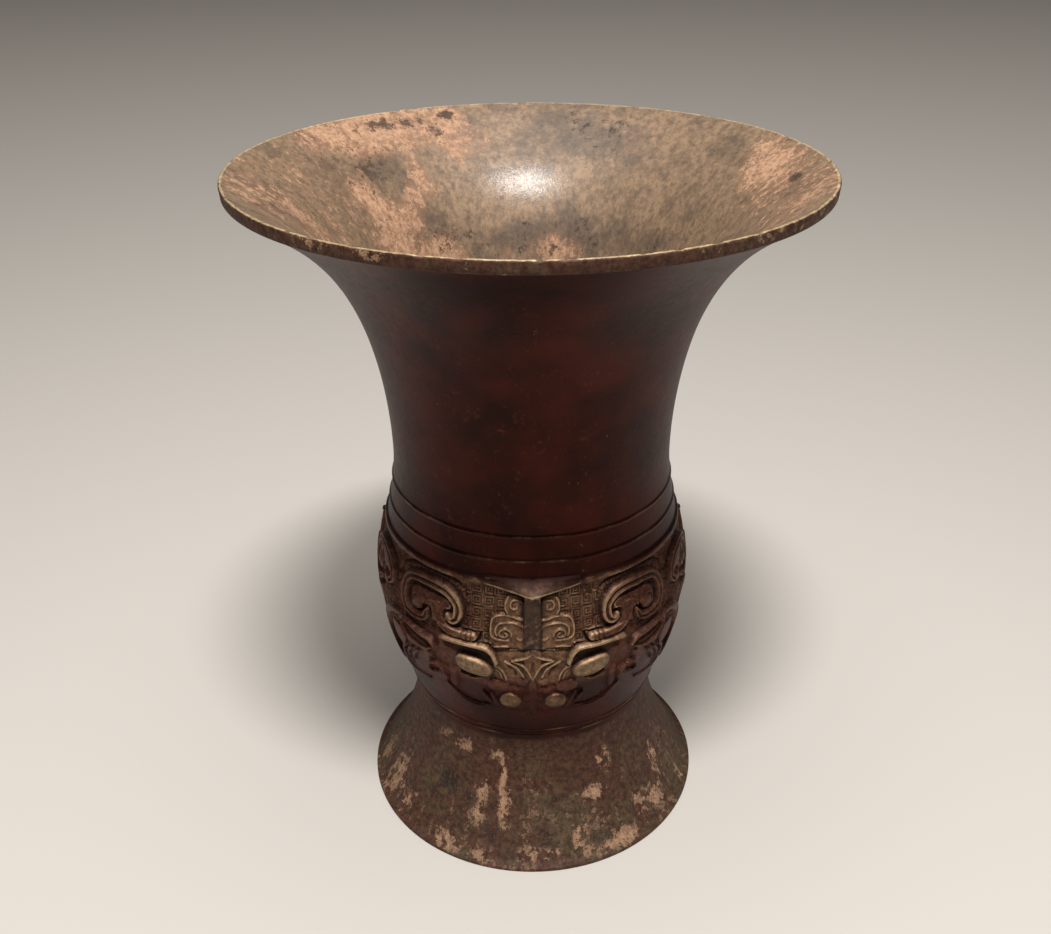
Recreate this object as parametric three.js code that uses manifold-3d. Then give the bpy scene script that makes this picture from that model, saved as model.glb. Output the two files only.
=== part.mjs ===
// Zun wine vessel: one hollow bronze casting with a trumpet mouth, a belly with a beast mask and a spreading foot.
// Millimetres, +Z up, origin at the centre of the foot's underside, the front mask facing -Y.

import * as THREE from "three";
import { mergeVertices } from "three/addons/utils/BufferGeometryUtils.js";
import Module from "manifold-3d";

const wasm = await Module();
wasm.setup();

// Heights of the main stations
const HEIGHT = 270;
const NECK_Z = 162; // the neck's narrowest place
const BELLY_Z = 104; // the belly's widest place
const WAIST_Z = 54; // between belly and foot
const EDGE_DEPTH = 4.4; // the rim's upright outer edge
const HEM_HEIGHT = 1.8; // the foot's upright outer edge

// Outer radii at those stations
const RIM_RADIUS = 105.3;
const FLARE_RADIUS = 104.4; // where the flare runs into the rim
const NECK_RADIUS = 54.1;
const BELLY_RADIUS = 62.3;
const WAIST_RADIUS = 50.3;
const FOOT_RADIUS = 70.9;
const HEM_RADIUS = 71.6;

// How each stretch of the outline swings out
const FLARE_EARLY_SHARE = 0.53; // the part of the flare that grows with the square of the height
const FLARE_LATE_POWER = 5.5;
const BELLY_POWER = 1.6;
const FOOT_POWER = 1.9;

// The wall, and the heights that bound the wine space and the hollow of the foot
const WALL = 3.2;
const RIM_WALL = 3.8;
const FLOOR_TOP_Z = 61;
const FLOOR_UNDERSIDE_Z = 57.4;
const FLOOR_CORNER_Z = 74; // where the floor's dish meets the wall
const HOLLOW_CORNER_Z = 49; // where the floor's underside meets the foot's inner face

// Thin raised rings around the body
const RINGS = [
  { z: 54.6, width: 1.8, rise: 0.7 },
  { z: 58.6, width: 1.8, rise: 0.7 },
  { z: 132.9, width: 2.8, rise: 0.9 },
  { z: 141.5, width: 2.2, rise: 0.8 },
  { z: 150.8, width: 2.2, rise: 0.8 },
];

// The ribs that part the mask: one in the middle of each side, lowest at its foot
const FRONT_RIB = { low: 107.5, high: 131.5, width: 6, riseLow: 1.4, riseHigh: 3.2 };
const SIDE_RIB = { low: 72, high: 131.5, width: 3.4, riseLow: 1.2, riseHigh: 1.5 };
const SHOULDER = { reach: 21, low: 130, lowAtEnds: 133.4, high: 134.2, rise: 3.9, riseAtEnds: 0.7 };

// Mesh fineness
const SEGMENTS = 36;
const RELIEF_ROOT = 1.4; // how deep a relief piece is set into the wall
const STROKE_CROWN = 0.55; // width of a stroke's top as a share of its width at the wall
const STROKE_STEP = 6.6; // length of one straight piece of a stroke
const NARROW_STROKE = 4.5; // a stroke narrower than this has a sharp crest

const BRONZE = new THREE.MeshStandardMaterial({ color: 0x4a3628, roughness: 0.55, metalness: 0.75 });

// Outer radius of the plain wall at height z
function wallRadius(z) {
  if (z > NECK_Z) {
    const t = (z - NECK_Z) / (HEIGHT - EDGE_DEPTH - NECK_Z);
    const swing = FLARE_EARLY_SHARE * t ** 2 + (1 - FLARE_EARLY_SHARE) * t ** FLARE_LATE_POWER;
    return NECK_RADIUS + (FLARE_RADIUS - NECK_RADIUS) * swing;
  }
  if (z > BELLY_Z) {
    const t = THREE.MathUtils.smoothstep(NECK_Z - z, 0, NECK_Z - BELLY_Z);
    return NECK_RADIUS + (BELLY_RADIUS - NECK_RADIUS) * t;
  }
  if (z > WAIST_Z) {
    const t = (BELLY_Z - z) / (BELLY_Z - WAIST_Z);
    return BELLY_RADIUS - (BELLY_RADIUS - WAIST_RADIUS) * t ** BELLY_POWER;
  }
  const t = (WAIST_Z - z) / WAIST_Z;
  return WAIST_RADIUS + (FOOT_RADIUS - WAIST_RADIUS) * t ** FOOT_POWER;
}

// Numbers from start to end in equal steps, both ends included
function spread(start, end, count) {
  return Array.from({ length: count + 1 }, (_, i) => start + ((end - start) * i) / count);
}

// A closed geometry as a solid
function solid(geometry) {
  const bare = geometry.clone();
  bare.deleteAttribute("normal");
  bare.deleteAttribute("uv");
  const merged = mergeVertices(bare, 1e-4);
  return new wasm.Manifold(
    new wasm.Mesh({
      numProp: 3,
      vertProperties: merged.attributes.position.array,
      triVerts: Uint32Array.from(merged.index.array),
    }),
  );
}

// The outer face from foot to rim, with its rings, as [radius, height]
function outerFace() {
  const plain = [
    ...spread(HEM_HEIGHT + 0.5, WAIST_Z - 4, 4),
    ...spread(WAIST_Z + 26, BELLY_Z, 2),
    ...spread(BELLY_Z + 14, NECK_Z, 2),
    ...spread(NECK_Z + 18, HEIGHT - EDGE_DEPTH, 8),
  ].map((z) => [wallRadius(z), z]);
  const rings = RINGS.flatMap(({ z, width, rise }) => [
    [wallRadius(z - width / 2), z - width / 2],
    [wallRadius(z) + rise, z],
    [wallRadius(z + width / 2), z + width / 2],
  ]);
  return [...plain, ...rings].sort((a, b) => a[1] - b[1]);
}

// The inner face opposite the outer face's height z, one wall thickness in along the normal
function innerPoint(z) {
  const slope = wallRadius(z + 0.5) - wallRadius(z - 0.5);
  const share = Math.max(0, (z - NECK_Z) / (HEIGHT - EDGE_DEPTH - NECK_Z));
  const run = THREE.MathUtils.lerp(WALL, RIM_WALL, share) / Math.hypot(1, slope);
  return [wallRadius(z) - run, z + run * slope];
}

// A shallow dish as [radius, height] from the axis out to its corner, level in the middle
function dish(centreZ, [cornerRadius, cornerZ], count) {
  return spread(0, Math.PI / 2, count).map((angle) => [
    cornerRadius * Math.sin(angle),
    centreZ + (cornerZ - centreZ) * (1 - Math.cos(angle)),
  ]);
}

// The revolved body: floor underside, hollow foot, outer face, rim, inner face and floor
function revolvedBody() {
  const profile = [
    ...dish(FLOOR_UNDERSIDE_Z, innerPoint(HOLLOW_CORNER_Z), 3),
    ...spread(HOLLOW_CORNER_Z - 12, HEM_HEIGHT + 4, 2).map(innerPoint),
    [HEM_RADIUS - WALL, 0],
    [HEM_RADIUS, 0],
    [HEM_RADIUS, HEM_HEIGHT],
    ...outerFace(),
    [RIM_RADIUS - 0.3, HEIGHT - EDGE_DEPTH + 0.3],
    [RIM_RADIUS, HEIGHT - 0.5],
    [RIM_RADIUS - 0.4, HEIGHT],
    [RIM_RADIUS - 1.3, HEIGHT],
    ...spread(HEIGHT - EDGE_DEPTH, NECK_Z + 16, 6).map(innerPoint),
    ...spread(NECK_Z - 10, FLOOR_CORNER_Z + 14, 3).map(innerPoint),
    ...dish(FLOOR_TOP_Z, innerPoint(FLOOR_CORNER_Z), 3).reverse(),
  ];
  const lathe = new THREE.LatheGeometry(profile.map(([r, z]) => new THREE.Vector2(r, z)), SEGMENTS);
  return solid(lathe.rotateX(Math.PI / 2));
}

// Lays relief on the wall: u runs round it in mm at the belly's widest place, z is the height, rise stands out
function onWall(u, z, rise) {
  const angle = u / BELLY_RADIUS;
  const r = wallRadius(z) + rise;
  return new THREE.Vector3(r * Math.sin(angle), -r * Math.cos(angle), z);
}

// Moves every vertex of a geometry by a rule that takes and returns a Vector3
function reshape(geometry, rule) {
  const position = geometry.attributes.position;
  for (let i = 0; i < position.count; i++) {
    const moved = rule(new THREE.Vector3().fromBufferAttribute(position, i));
    position.setXYZ(i, moved.x, moved.y, moved.z);
  }
  return geometry;
}

// A bar of a given number of steps along x, half a unit each way, with its left along y and its face along z
function bar(count, hasCrest) {
  if (!hasCrest) {
    return new THREE.BoxGeometry(1, 1, 1, count, 1, 1);
  }
  const prism = new THREE.CylinderGeometry(1, 1, 1, 3, count);
  return prism.scale(0.5 / Math.sin(Math.PI / 3), 1, 1).rotateZ(-Math.PI / 2);
}

// A raised band along a smooth path of [u, z] points, flat on top, or sharp where it is narrow
function stroke({ path, width, rise }) {
  const curve = new THREE.CatmullRomCurve3(path.map(([u, z]) => new THREE.Vector3(u, z, 0)));
  const count = Math.max(2, Math.round(curve.getLength() / STROKE_STEP));
  return solid(
    reshape(bar(count, width < NARROW_STROKE), ({ x, y, z }) => {
      const at = curve.getPointAt(x + 0.5);
      const along = curve.getTangentAt(x + 0.5);
      const across = y * width * (z > 0 ? STROKE_CROWN : 1);
      return onWall(at.x - along.y * across, at.y + along.x * across, z > 0 ? rise : -RELIEF_ROOT);
    }),
  );
}

// A rounded boss on the wall
function boss({ centre, size, rise }) {
  const ball = new THREE.SphereGeometry(1, 8, 6);
  return solid(
    reshape(ball, ({ x, y, z }) =>
      onWall(centre[0] + x * size[0], centre[1] + y * size[1], z > 0 ? z * rise : z * RELIEF_ROOT),
    ),
  );
}

// An upright rib centred on u, whose rise grows evenly from foot to top
function rib(u, { low, high, width, riseLow, riseHigh }) {
  const bar = new THREE.BoxGeometry(1, 1, 1, 2, 4, 1);
  return solid(
    reshape(bar, ({ x, y, z }) => {
      const rise = THREE.MathUtils.lerp(riseLow, riseHigh, y + 0.5);
      return onWall(u + x * width, low + (high - low) * (y + 0.5), z > 0 ? rise : -RELIEF_ROOT);
    }),
  );
}

// The smooth shoulder over the front rib, deepest and furthest out in the middle
function shoulder() {
  const bar = new THREE.BoxGeometry(2, 1, 1, 8, 1, 1);
  return solid(
    reshape(bar, ({ x, y, z }) => {
      const fade = Math.abs(x);
      const low = THREE.MathUtils.lerp(SHOULDER.low, SHOULDER.lowAtEnds, fade);
      const rise = THREE.MathUtils.lerp(SHOULDER.rise, SHOULDER.riseAtEnds, fade ** 0.7);
      return onWall(x * SHOULDER.reach, y > 0 ? SHOULDER.high : low, z > 0 ? (y > 0 ? 0.4 : rise) : -RELIEF_ROOT);
    }),
  );
}

// Points of a coil from one angle to another in degrees, its last half drawing in to a share of its reach
function coil({ centre, reach, from, to, tip }) {
  const count = Math.max(4, Math.round(Math.abs(to - from) / 45));
  return spread(0, 1, count).map((t) => {
    const angle = THREE.MathUtils.degToRad(THREE.MathUtils.lerp(from, to, t));
    const draw = THREE.MathUtils.lerp(1, tip, Math.max(0, 2 * t - 1));
    return [centre[0] + reach[0] * draw * Math.cos(angle), centre[1] + reach[1] * draw * Math.sin(angle)];
  });
}

// The right half of the mask, as strokes on the wall
const MASK_STROKES = {
  hornWithCoil: {
    path: [
      [32.4, 114.6],
      [30.2, 118.6],
      [32, 123],
      [38.5, 126.2],
      ...coil({ centre: [48.2, 117.8], reach: [9, 8.6], from: 95, to: -225, tip: 0.4 }),
    ],
    width: 5,
    rise: 2.2,
  },
  tongueBar: { path: [[21.5, 111], [33.5, 111.2]], width: 4, rise: 1.6 },
  browRidge: { path: [[13.4, 100.4], [15.6, 104.8], [19.6, 107.1], [35.4, 107.3]], width: 1.8, rise: 2 },
  scroll: {
    path: [[2.6, 118.8], ...coil({ centre: [9.8, 114], reach: [5.8, 6.2], from: 100, to: -260, tip: 0.35 })],
    width: 1.9,
    rise: 1.3,
  },
  upperCurl: {
    path: [[2.8, 121], ...coil({ centre: [6.3, 125], reach: [3, 2.5], from: 170, to: -130, tip: 0.5 })],
    width: 1.4,
    rise: 1.1,
  },
  crestEdge: { path: [[-0.6, 106.4], [3, 104.1], [7.6, 103.3]], width: 1.7, rise: 1.5 },
  crestVee: { path: [[8.4, 102.8], [4.4, 100.6], [1.5, 97.2], [0, 92.6]], width: 1.5, rise: 1.3 },
  noseRidge: { path: [[0, 94], [0, 72.5]], width: 3.4, rise: 1.3 },
  noseWing: { path: [[9.4, 88.2], [16, 88.4]], width: 4.6, rise: 1.5 },
  nostrilHook: { path: [[2.9, 85.4], [2.4, 80], [4.6, 74.8], [8.6, 73.8]], width: 1.7, rise: 1.2 },
  cheekLine: { path: [[18.8, 85], [15, 79.8], [13.6, 75.2]], width: 2, rise: 1.2 },
  earRidge: { path: [[39.8, 100.2], [43, 103.4], [55.4, 105]], width: 1.8, rise: 1.8 },
  earLeaf: { path: [[41.5, 97.4], [48.5, 98.8], [57.4, 102]], width: 4.4, rise: 1.3 },
  jawCurl: {
    path: [[35.8, 83.6], ...coil({ centre: [40.6, 88], reach: [3.8, 3.2], from: 170, to: -130, tip: 0.5 })],
    width: 1.9,
    rise: 1.4,
  },
  jaw: { path: [[16, 75.2], [24.5, 74.2], [33, 78], [36.4, 84.4]], width: 2.2, rise: 1.3 },
  shoulderWithCoil: {
    path: [
      [64.6, 108.4],
      [63.8, 116],
      [67.6, 123.6],
      [75, 126.4],
      ...coil({ centre: [83.4, 118.2], reach: [8.2, 8.2], from: 95, to: -225, tip: 0.4 }),
    ],
    width: 4.2,
    rise: 1.8,
  },
  leg: { path: [[60, 103.4], [67.6, 99.4], [74, 92.4], [75.4, 84], [70.4, 78.6], [65, 80.6]], width: 3.4, rise: 1.6 },
  tail: { path: [[81, 104], [89.6, 100.4], [93, 92], [88.6, 84.6], [82.6, 86.4]], width: 3, rise: 1.4 },
};

// The right half's rounded bosses
const MASK_BOSSES = {
  eye: { centre: [23.1, 97], size: [7.8, 5.2], rise: 3.8 },
  nostril: { centre: [8.8, 80], size: [4.5, 4.8], rise: 2.8 },
};

// The same item on the mask's left half
function mirrored(item) {
  const flip = ([u, z]) => [-u, z];
  return item.path ? { ...item, path: item.path.map(flip) } : { ...item, centre: flip(item.centre) };
}

// The strokes that the mask on the back goes without
const FRONT_ONLY = [
  "upperCurl",
  "crestEdge",
  "noseWing",
  "nostrilHook",
  "cheekLine",
  "jawCurl",
  "earLeaf",
  "tongueBar",
  "tail",
];

// One whole mask, with its rib and shoulder, and the low rib beside its right edge
function mask(leftOut) {
  const strokes = Object.entries(MASK_STROKES).filter(([name]) => !leftOut.includes(name));
  const right = [...strokes.map(([, item]) => item), ...Object.values(MASK_BOSSES)];
  const both = [...right, ...right.map(mirrored)];
  const pieces = both.map((item) => (item.path ? stroke(item) : boss(item)));
  const sideRib = rib((BELLY_RADIUS * Math.PI) / 2, SIDE_RIB);
  return [...pieces, rib(0, FRONT_RIB), shoulder(), sideRib].reduce((whole, piece) => whole.add(piece));
}

// A solid as a flat-shaded geometry
function geometryOf(made) {
  const { numProp, vertProperties, triVerts } = made.getMesh();
  const geometry = new THREE.BufferGeometry();
  geometry.setAttribute("position", new THREE.BufferAttribute(vertProperties, numProp));
  geometry.setIndex(new THREE.BufferAttribute(triVerts, 1));
  const flat = geometry.toNonIndexed();
  flat.computeVertexNormals();
  return flat;
}

const casting = revolvedBody().add(mask([])).add(mask(FRONT_ONLY).rotate([0, 0, 180]));

const vessel = new THREE.Mesh(geometryOf(casting), BRONZE);
vessel.name = "zun_vessel";

const zun = new THREE.Group();
zun.add(vessel);

export default zun;
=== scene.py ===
"""A zun wine vessel in cast bronze: a trumpet mouth, a beast mask round its belly and a spreading foot."""

import logging
import math
from collections.abc import Sequence
from dataclasses import dataclass, field
from enum import Enum
from functools import cached_property
from typing import Any

import bpy
import numpy as np
from mathutils import Matrix, Vector


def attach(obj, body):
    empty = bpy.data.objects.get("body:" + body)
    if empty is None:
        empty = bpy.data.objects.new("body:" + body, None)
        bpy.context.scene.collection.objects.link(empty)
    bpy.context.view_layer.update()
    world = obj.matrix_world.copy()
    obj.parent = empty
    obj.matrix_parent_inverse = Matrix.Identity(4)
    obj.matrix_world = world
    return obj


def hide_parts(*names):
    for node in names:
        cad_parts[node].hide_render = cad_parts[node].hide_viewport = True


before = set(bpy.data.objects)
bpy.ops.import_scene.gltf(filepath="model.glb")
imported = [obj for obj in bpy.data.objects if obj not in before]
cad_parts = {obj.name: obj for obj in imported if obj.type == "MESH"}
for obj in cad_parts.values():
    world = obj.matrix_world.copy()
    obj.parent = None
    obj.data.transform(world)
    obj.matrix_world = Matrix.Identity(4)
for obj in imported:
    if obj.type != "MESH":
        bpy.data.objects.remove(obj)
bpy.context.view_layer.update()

MM = 0.001
Point = tuple[float, float]
Spot = tuple[float, float, float, float, float]

log = logging.getLogger("zun")


def linear(hex_colour: str) -> tuple[float, float, float, float]:
    """Turns an sRGB hex colour into the linear values that a shader takes.

    Args:
        hex_colour: Six hexadecimal digits, such as "8a7f68".

    Returns:
        Red, green, blue and an alpha of one.
    """
    parts = [int(hex_colour[i : i + 2], 16) / 255 for i in (0, 2, 4)]
    red, green, blue = (c / 12.92 if c <= 0.04045 else ((c + 0.055) / 1.055) ** 2.4 for c in parts)
    return red, green, blue, 1.0


def add_node(
    tree: bpy.types.NodeTree,
    kind: str,
    inputs: dict[str | int, Any] | None = None,
    output: str | int = 0,
    **settings: Any,
) -> bpy.types.NodeSocket | None:
    """Adds one node with its inputs and settings.

    Args:
        tree: The tree that gets the node.
        kind: The node's type name.
        inputs: By input name or index, an output socket to link or a plain value to set.
        output: The name or index of the output that is handed back.
        **settings: The node's own properties.

    Returns:
        The wanted output, or nothing from a node that has none.
    """
    node = tree.nodes.new(kind)
    for name, value in settings.items():
        setattr(node, name, value)
    for name, value in (inputs or {}).items():
        if isinstance(value, bpy.types.NodeSocket):
            tree.links.new(value, node.inputs[name])
        else:
            node.inputs[name].default_value = value
    return node.outputs[output] if node.outputs else None


def smooth(low: float, high: float, value: np.ndarray) -> np.ndarray:
    """Runs from 0 at low to 1 at high without a kink."""
    t = np.clip((value - low) / (high - low), 0.0, 1.0)
    return t * t * (3 - 2 * t)


def sample(table: np.ndarray, row: np.ndarray, column: np.ndarray) -> np.ndarray:
    """Reads a table between its cells.

    Args:
        table: Values by row and column.
        row: Row positions, cut off at the table's edges.
        column: Column positions, cut off at the table's edges.

    Returns:
        One value for each position.
    """
    row = np.clip(row, 0, table.shape[0] - 1.001)
    column = np.clip(column, 0, table.shape[1] - 1.001)
    r, c = row.astype(int), column.astype(int)
    fr, fc = row - r, column - c
    top = table[r, c] * (1 - fc) + table[r, c + 1] * fc
    bottom = table[r + 1, c] * (1 - fc) + table[r + 1, c + 1] * fc
    return top * (1 - fr) + bottom * fr


def blurred(table: np.ndarray, cells: int) -> np.ndarray:
    """Averages a table over a square around each cell, twice, so that the result is soft.

    Args:
        table: Values by row and column.
        cells: Half the width of the square.

    Returns:
        A table of the same size.
    """
    for _ in range(2):
        for axis in (0, 1):
            pad = [(0, 0), (0, 0)]
            pad[axis] = (cells + 1, cells)
            total = np.cumsum(np.pad(table, pad, mode="edge"), axis=axis)
            size = table.shape[axis]
            upper = np.take(total, range(2 * cells + 1, 2 * cells + 1 + size), axis=axis)
            table = (upper - np.take(total, range(size), axis=axis)) / (2 * cells + 1)
    return table


def wobble(rng: np.random.Generator, rows: int, columns: int, cell: int) -> np.ndarray:
    """Makes a smooth random field around zero that closes on itself along its columns.

    Args:
        rng: The source of the random values.
        rows: Height of the field.
        columns: Width of the field.
        cell: Distance between its random values.

    Returns:
        Values from about -1 to 1.
    """
    tall, wide = rows // cell + 3, max(3, columns // cell)
    knots = rng.uniform(-1, 1, (tall, wide))
    knots = np.concatenate([knots, knots[:, :2]], axis=1)
    r = np.arange(rows)[:, None] / cell
    c = np.arange(columns)[None, :] * wide / columns
    r0, c0 = r.astype(int), c.astype(int)
    fr, fc = smooth(0, 1, r - r0), smooth(0, 1, c - c0)
    top = knots[r0, c0] * (1 - fc) + knots[r0, c0 + 1] * fc
    bottom = knots[r0 + 1, c0] * (1 - fc) + knots[r0 + 1, c0 + 1] * fc
    return top * (1 - fr) + bottom * fr


@dataclass(frozen=True)
class Outline:
    """The plain wall's outline in millimetres, before any relief."""

    height: float = 270.0
    neck_z: float = 162.0
    belly_z: float = 104.0
    waist_z: float = 54.0
    edge_depth: float = 4.4
    hem_height: float = 1.8
    rim_radius: float = 105.3
    flare_radius: float = 104.4
    neck_radius: float = 54.1
    belly_radius: float = 62.3
    waist_radius: float = 50.3
    foot_radius: float = 70.9
    hem_radius: float = 71.6
    flare_early_share: float = 0.53
    flare_late_power: float = 5.5
    belly_power: float = 1.6
    foot_power: float = 1.9
    wall: float = 3.2
    rim_wall: float = 3.8
    floor_top_z: float = 61.0
    floor_underside_z: float = 57.4
    floor_corner_z: float = 74.0
    hollow_corner_z: float = 49.0

    @property
    def edge_z(self) -> float:
        """Gives the height at which the lip's outer band starts."""
        return self.height - self.edge_depth

    def outer(self, z: np.ndarray) -> np.ndarray:
        """Gives the outer radius at each height.

        Args:
            z: The heights.

        Returns:
            The radii.
        """
        z = np.asarray(z, float)
        up = np.clip((z - self.neck_z) / (self.edge_z - self.neck_z), 0, None)
        swing = self.flare_early_share * up**2 + (1 - self.flare_early_share) * up**self.flare_late_power
        flare = self.neck_radius + (self.flare_radius - self.neck_radius) * swing
        upper = smooth(0, self.neck_z - self.belly_z, self.neck_z - z)
        shoulder = self.neck_radius + (self.belly_radius - self.neck_radius) * upper
        down = np.clip((self.belly_z - z) / (self.belly_z - self.waist_z), 0, 1)
        belly = self.belly_radius - (self.belly_radius - self.waist_radius) * down**self.belly_power
        low = np.clip((self.waist_z - z) / self.waist_z, 0, 1)
        foot = self.waist_radius + (self.foot_radius - self.waist_radius) * low**self.foot_power
        bands = [z > self.neck_z, z > self.belly_z, z > self.waist_z]
        return np.select(bands, [flare, shoulder, belly], foot)

    def points(self, heights: Sequence[float]) -> list[Point]:
        """Gives points of the outer face as radius and height."""
        return [(float(self.outer(z)), z) for z in heights]

    def inner(self, z: np.ndarray) -> list[Point]:
        """Gives the inner face's points, one wall in along the normal.

        Args:
            z: Heights on the outer face.

        Returns:
            Radius and height of the point opposite each.
        """
        z = np.asarray(z, float)
        slope = self.outer(z + 0.5) - self.outer(z - 0.5)
        share = np.clip((z - self.neck_z) / (self.edge_z - self.neck_z), 0, 1)
        run = (self.wall + (self.rim_wall - self.wall) * share) / np.hypot(1, slope)
        return list(zip(self.outer(z) - run, z + run * slope))

    def dish(self, centre_z: float, corner: Point, count: int) -> list[Point]:
        """Gives a shallow dish from the axis out to its corner.

        Args:
            centre_z: Height in the middle.
            corner: Radius and height of its edge.
            count: Number of steps.

        Returns:
            Radius and height of each point.
        """
        angle = np.linspace(0, math.pi / 2, count + 1)
        rise = (corner[1] - centre_z) * (1 - np.cos(angle))
        return list(zip(corner[0] * np.sin(angle), centre_z + rise))


@dataclass(frozen=True)
class Ring:
    """A thin raised ring round the body, in millimetres."""

    z: float
    width: float
    rise: float
    guard: float = 0.4

    def points(self, outline: Outline, steps: int = 6) -> list[Point]:
        """Gives the ring's rounded section, with a row of the plain wall close beside it.

        Args:
            outline: The wall that it lies on.
            steps: Number of steps across it.

        Returns:
            Radius and height of each point.
        """
        z = np.linspace(self.z - self.width / 2, self.z + self.width / 2, steps + 1)
        z = np.array([z[0] - self.guard, *z, z[-1] + self.guard])
        inside = np.clip(np.cos((z - self.z) / self.width * math.pi), 0, None)
        return list(zip(outline.outer(z) + self.rise * inside**1.5, z))


class Cut(Enum):
    """What a line of the mask is in the casting."""

    BAND = "a raised band with a flat top"
    THREAD = "a thin ridge laid on whatever is under it"
    GROOVE = "a channel"
    MOAT = "a cut down to the wall beside a band"


@dataclass(frozen=True)
class Line:
    """One line of the mask's right half.

    Its points are degrees from the mask's middle and millimetres of height, and its width and rise are in
    millimetres. The start and end widths are shares of the width.
    """

    path: Sequence[Point]
    width: float
    rise: float
    cut: Cut = Cut.BAND
    start_width: float = 1.0
    end_width: float = 1.0


@dataclass(frozen=True)
class Boss:
    """A rounded knob, its middle and half size as degrees and millimetres.

    A higher power gives a squarer outline.
    The lift is how much its outer end stands over its inner end, in millimetres.
    """

    centre: Point
    size: Point
    rise: float
    power: float = 2.2
    lift: float = 0.0


@dataclass
class BeastMask:
    """The relief on one half of one side, as a table of rises over the plain wall.

    The half runs from the mask's middle to the side rib. All four halves are cut from it, each bent a little
    by a random field.
    """

    low: float = 68.0
    high: float = 135.4
    cell: float = 0.15
    degree: float = 62.3 * math.pi / 180
    edge: float = 0.5
    # the real spirals are too fine to show in the render, so they are drawn as coarse as they need to show
    ground_pitch: float = 4.8
    ground_depth: float = 0.7
    plate_flatness: float = 0.25
    knob_flatness: float = 0.42
    fine_groove: float = 0.75
    front_rib: Point = (2.5, 3.1)
    side_rib_at: float = 98.0
    shoulder_reach: float = 19.5
    moat_floor: float = -0.35
    plates: list[Boss] = field(default_factory=list)
    bosses: list[Boss] = field(default_factory=list)
    bare: list[Boss] = field(default_factory=list)
    lines: list[Line] = field(default_factory=list)

    def __post_init__(self) -> None:
        """Fills in the motifs from the mask's middle outwards."""
        self.plates = [
            Boss((8.3, 114.2), (6.4, 6.9), 0.75, 7),
            Boss((5.4, 124.6), (4.1, 4.3), 0.7, 4),
            Boss((37.6, 117.0), (10.4, 5.6), 1.25, 5),
            Boss((70.6, 117.6), (9.4, 6.2), 1.1, 5),
            Boss((6.4, 97.6), (7.4, 8.4), 0.7, 3.4),
            Boss((46.2, 100.2), (10.4, 5.0), 0.9, 3),
            Boss((36.8, 87.6), (5.2, 4.4), 0.9, 3),
            Boss((12.2, 87.6), (4.0, 3.3), 1.5, 3.4),
            Boss((8.2, 80.6), (7.6, 7.4), 0.8, 4),
            Boss((30.2, 86.8), (2.0, 6.4), 0.8, 2.6),
            Boss((60.0, 91.6), (5.2, 5.4), 0.8, 3),
            Boss((79.6, 94.8), (4.4, 8.6), 0.7, 3),
        ]
        self.bare = [Boss((20.7, 96.7), (7.1, 4.4), 3.5, 2.4, 2.4), Boss((8.2, 80.2), (4.3, 4.4), 3.0, 2.4)]
        self.bosses = [
            *self.bare,
            Boss((3.6, 91.2), (2.3, 2.1), 1.9),
            Boss((2.6, 82.0), (1.5, 3.2), 1.9),
            Boss((39.5, 95.0), (1.7, 1.7), 1.8),
            Boss((44.4, 117.8), (3.0, 3.3), 2.2, 3),
            Boss((75.2, 117.8), (2.8, 3.0), 2.0, 3),
        ]
        self.lines = [
            *self.middle(),
            *self.scrolls(),
            *self.horn(),
            *self.eye(),
            *self.nose(),
            *self.ear_and_jaw(),
            *self.body_and_legs(),
        ]

    def middle(self) -> list[Line]:
        """Gives the crest, the two V lines and the leaf between the eyes."""
        return [
            Line([(0, 104.4), (0, 99), (0, 94.6)], 6.4, 1.3, end_width=0.1),
            Line([(0, 100.6), (0, 96.8)], 1.1, 0.6, Cut.GROOVE),
            Line([(-0.4, 107.2), (0.8, 104.8), (3.1, 103.5), (6.2, 102.7)], 1.0, 2.0),
            Line([(7, 102.4), (3.4, 100.4), (1.6, 97.7), (0, 93.2)], 1.0, 2.0),
            Line([(9.4, 101.7), (5.9, 99.5), (4.1, 96.8), (3, 93.9)], 1.0, 1.8),
            Line([(8.6, 99.2), (6.6, 97.4), (5.6, 94.6)], 0.6, 0.5, Cut.GROOVE),
            Line([(9.0, 92), (9.8, 95.3), (11.3, 97.8), (13, 98.7)], 1.0, 1.8),
            Line([(10.6, 92.4), (11.4, 95.3), (12.7, 97.3)], 0.8, 1.5),
        ]

    def scrolls(self) -> list[Line]:
        """Gives the thread scrolls beside the front rib."""
        paths = [
            [(2.7, 120.6), (2.2, 122.4), (2.3, 125.2), (4.2, 127.4), (6.7, 127.2), (7.5, 125.4), (6.6, 123.9),
             (5.2, 124.2), (5.2, 125.4)],
            [(7.9, 129), (9, 126.8), (9.4, 124.2), (8.4, 122)],
            [(1.9, 117.8), (2.7, 119.5), (5, 120.1), (8.2, 121), (11.4, 120.8), (13.4, 119.6), (14.2, 117),
             (14.2, 113.6), (13.2, 111.7), (10.8, 111), (8, 111.1)],
            [(5.1, 112.4), (3.8, 111.6), (2.6, 112.8), (2.5, 115.3), (3.7, 117.3), (6.5, 118.3), (10, 118.1),
             (12, 116.9), (12.6, 114.4), (11.8, 112.6)],
            [(7, 112.9), (7.4, 114.6), (9.2, 115.7), (11, 114.6), (11, 112.9), (9.4, 112.1), (8.4, 113.3),
             (9.3, 114.2)],
            [(2.3, 111.2), (2.4, 109), (3.7, 107.3), (6, 106.7), (8.6, 106.6)],
            [(8.1, 108.4), (11, 108.1), (14, 107.2)],
            [(14, 109), (17, 108.8), (19, 108.6)],
        ]
        return [Line(path, 0.78, 0.8, Cut.THREAD) for path in paths]

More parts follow.
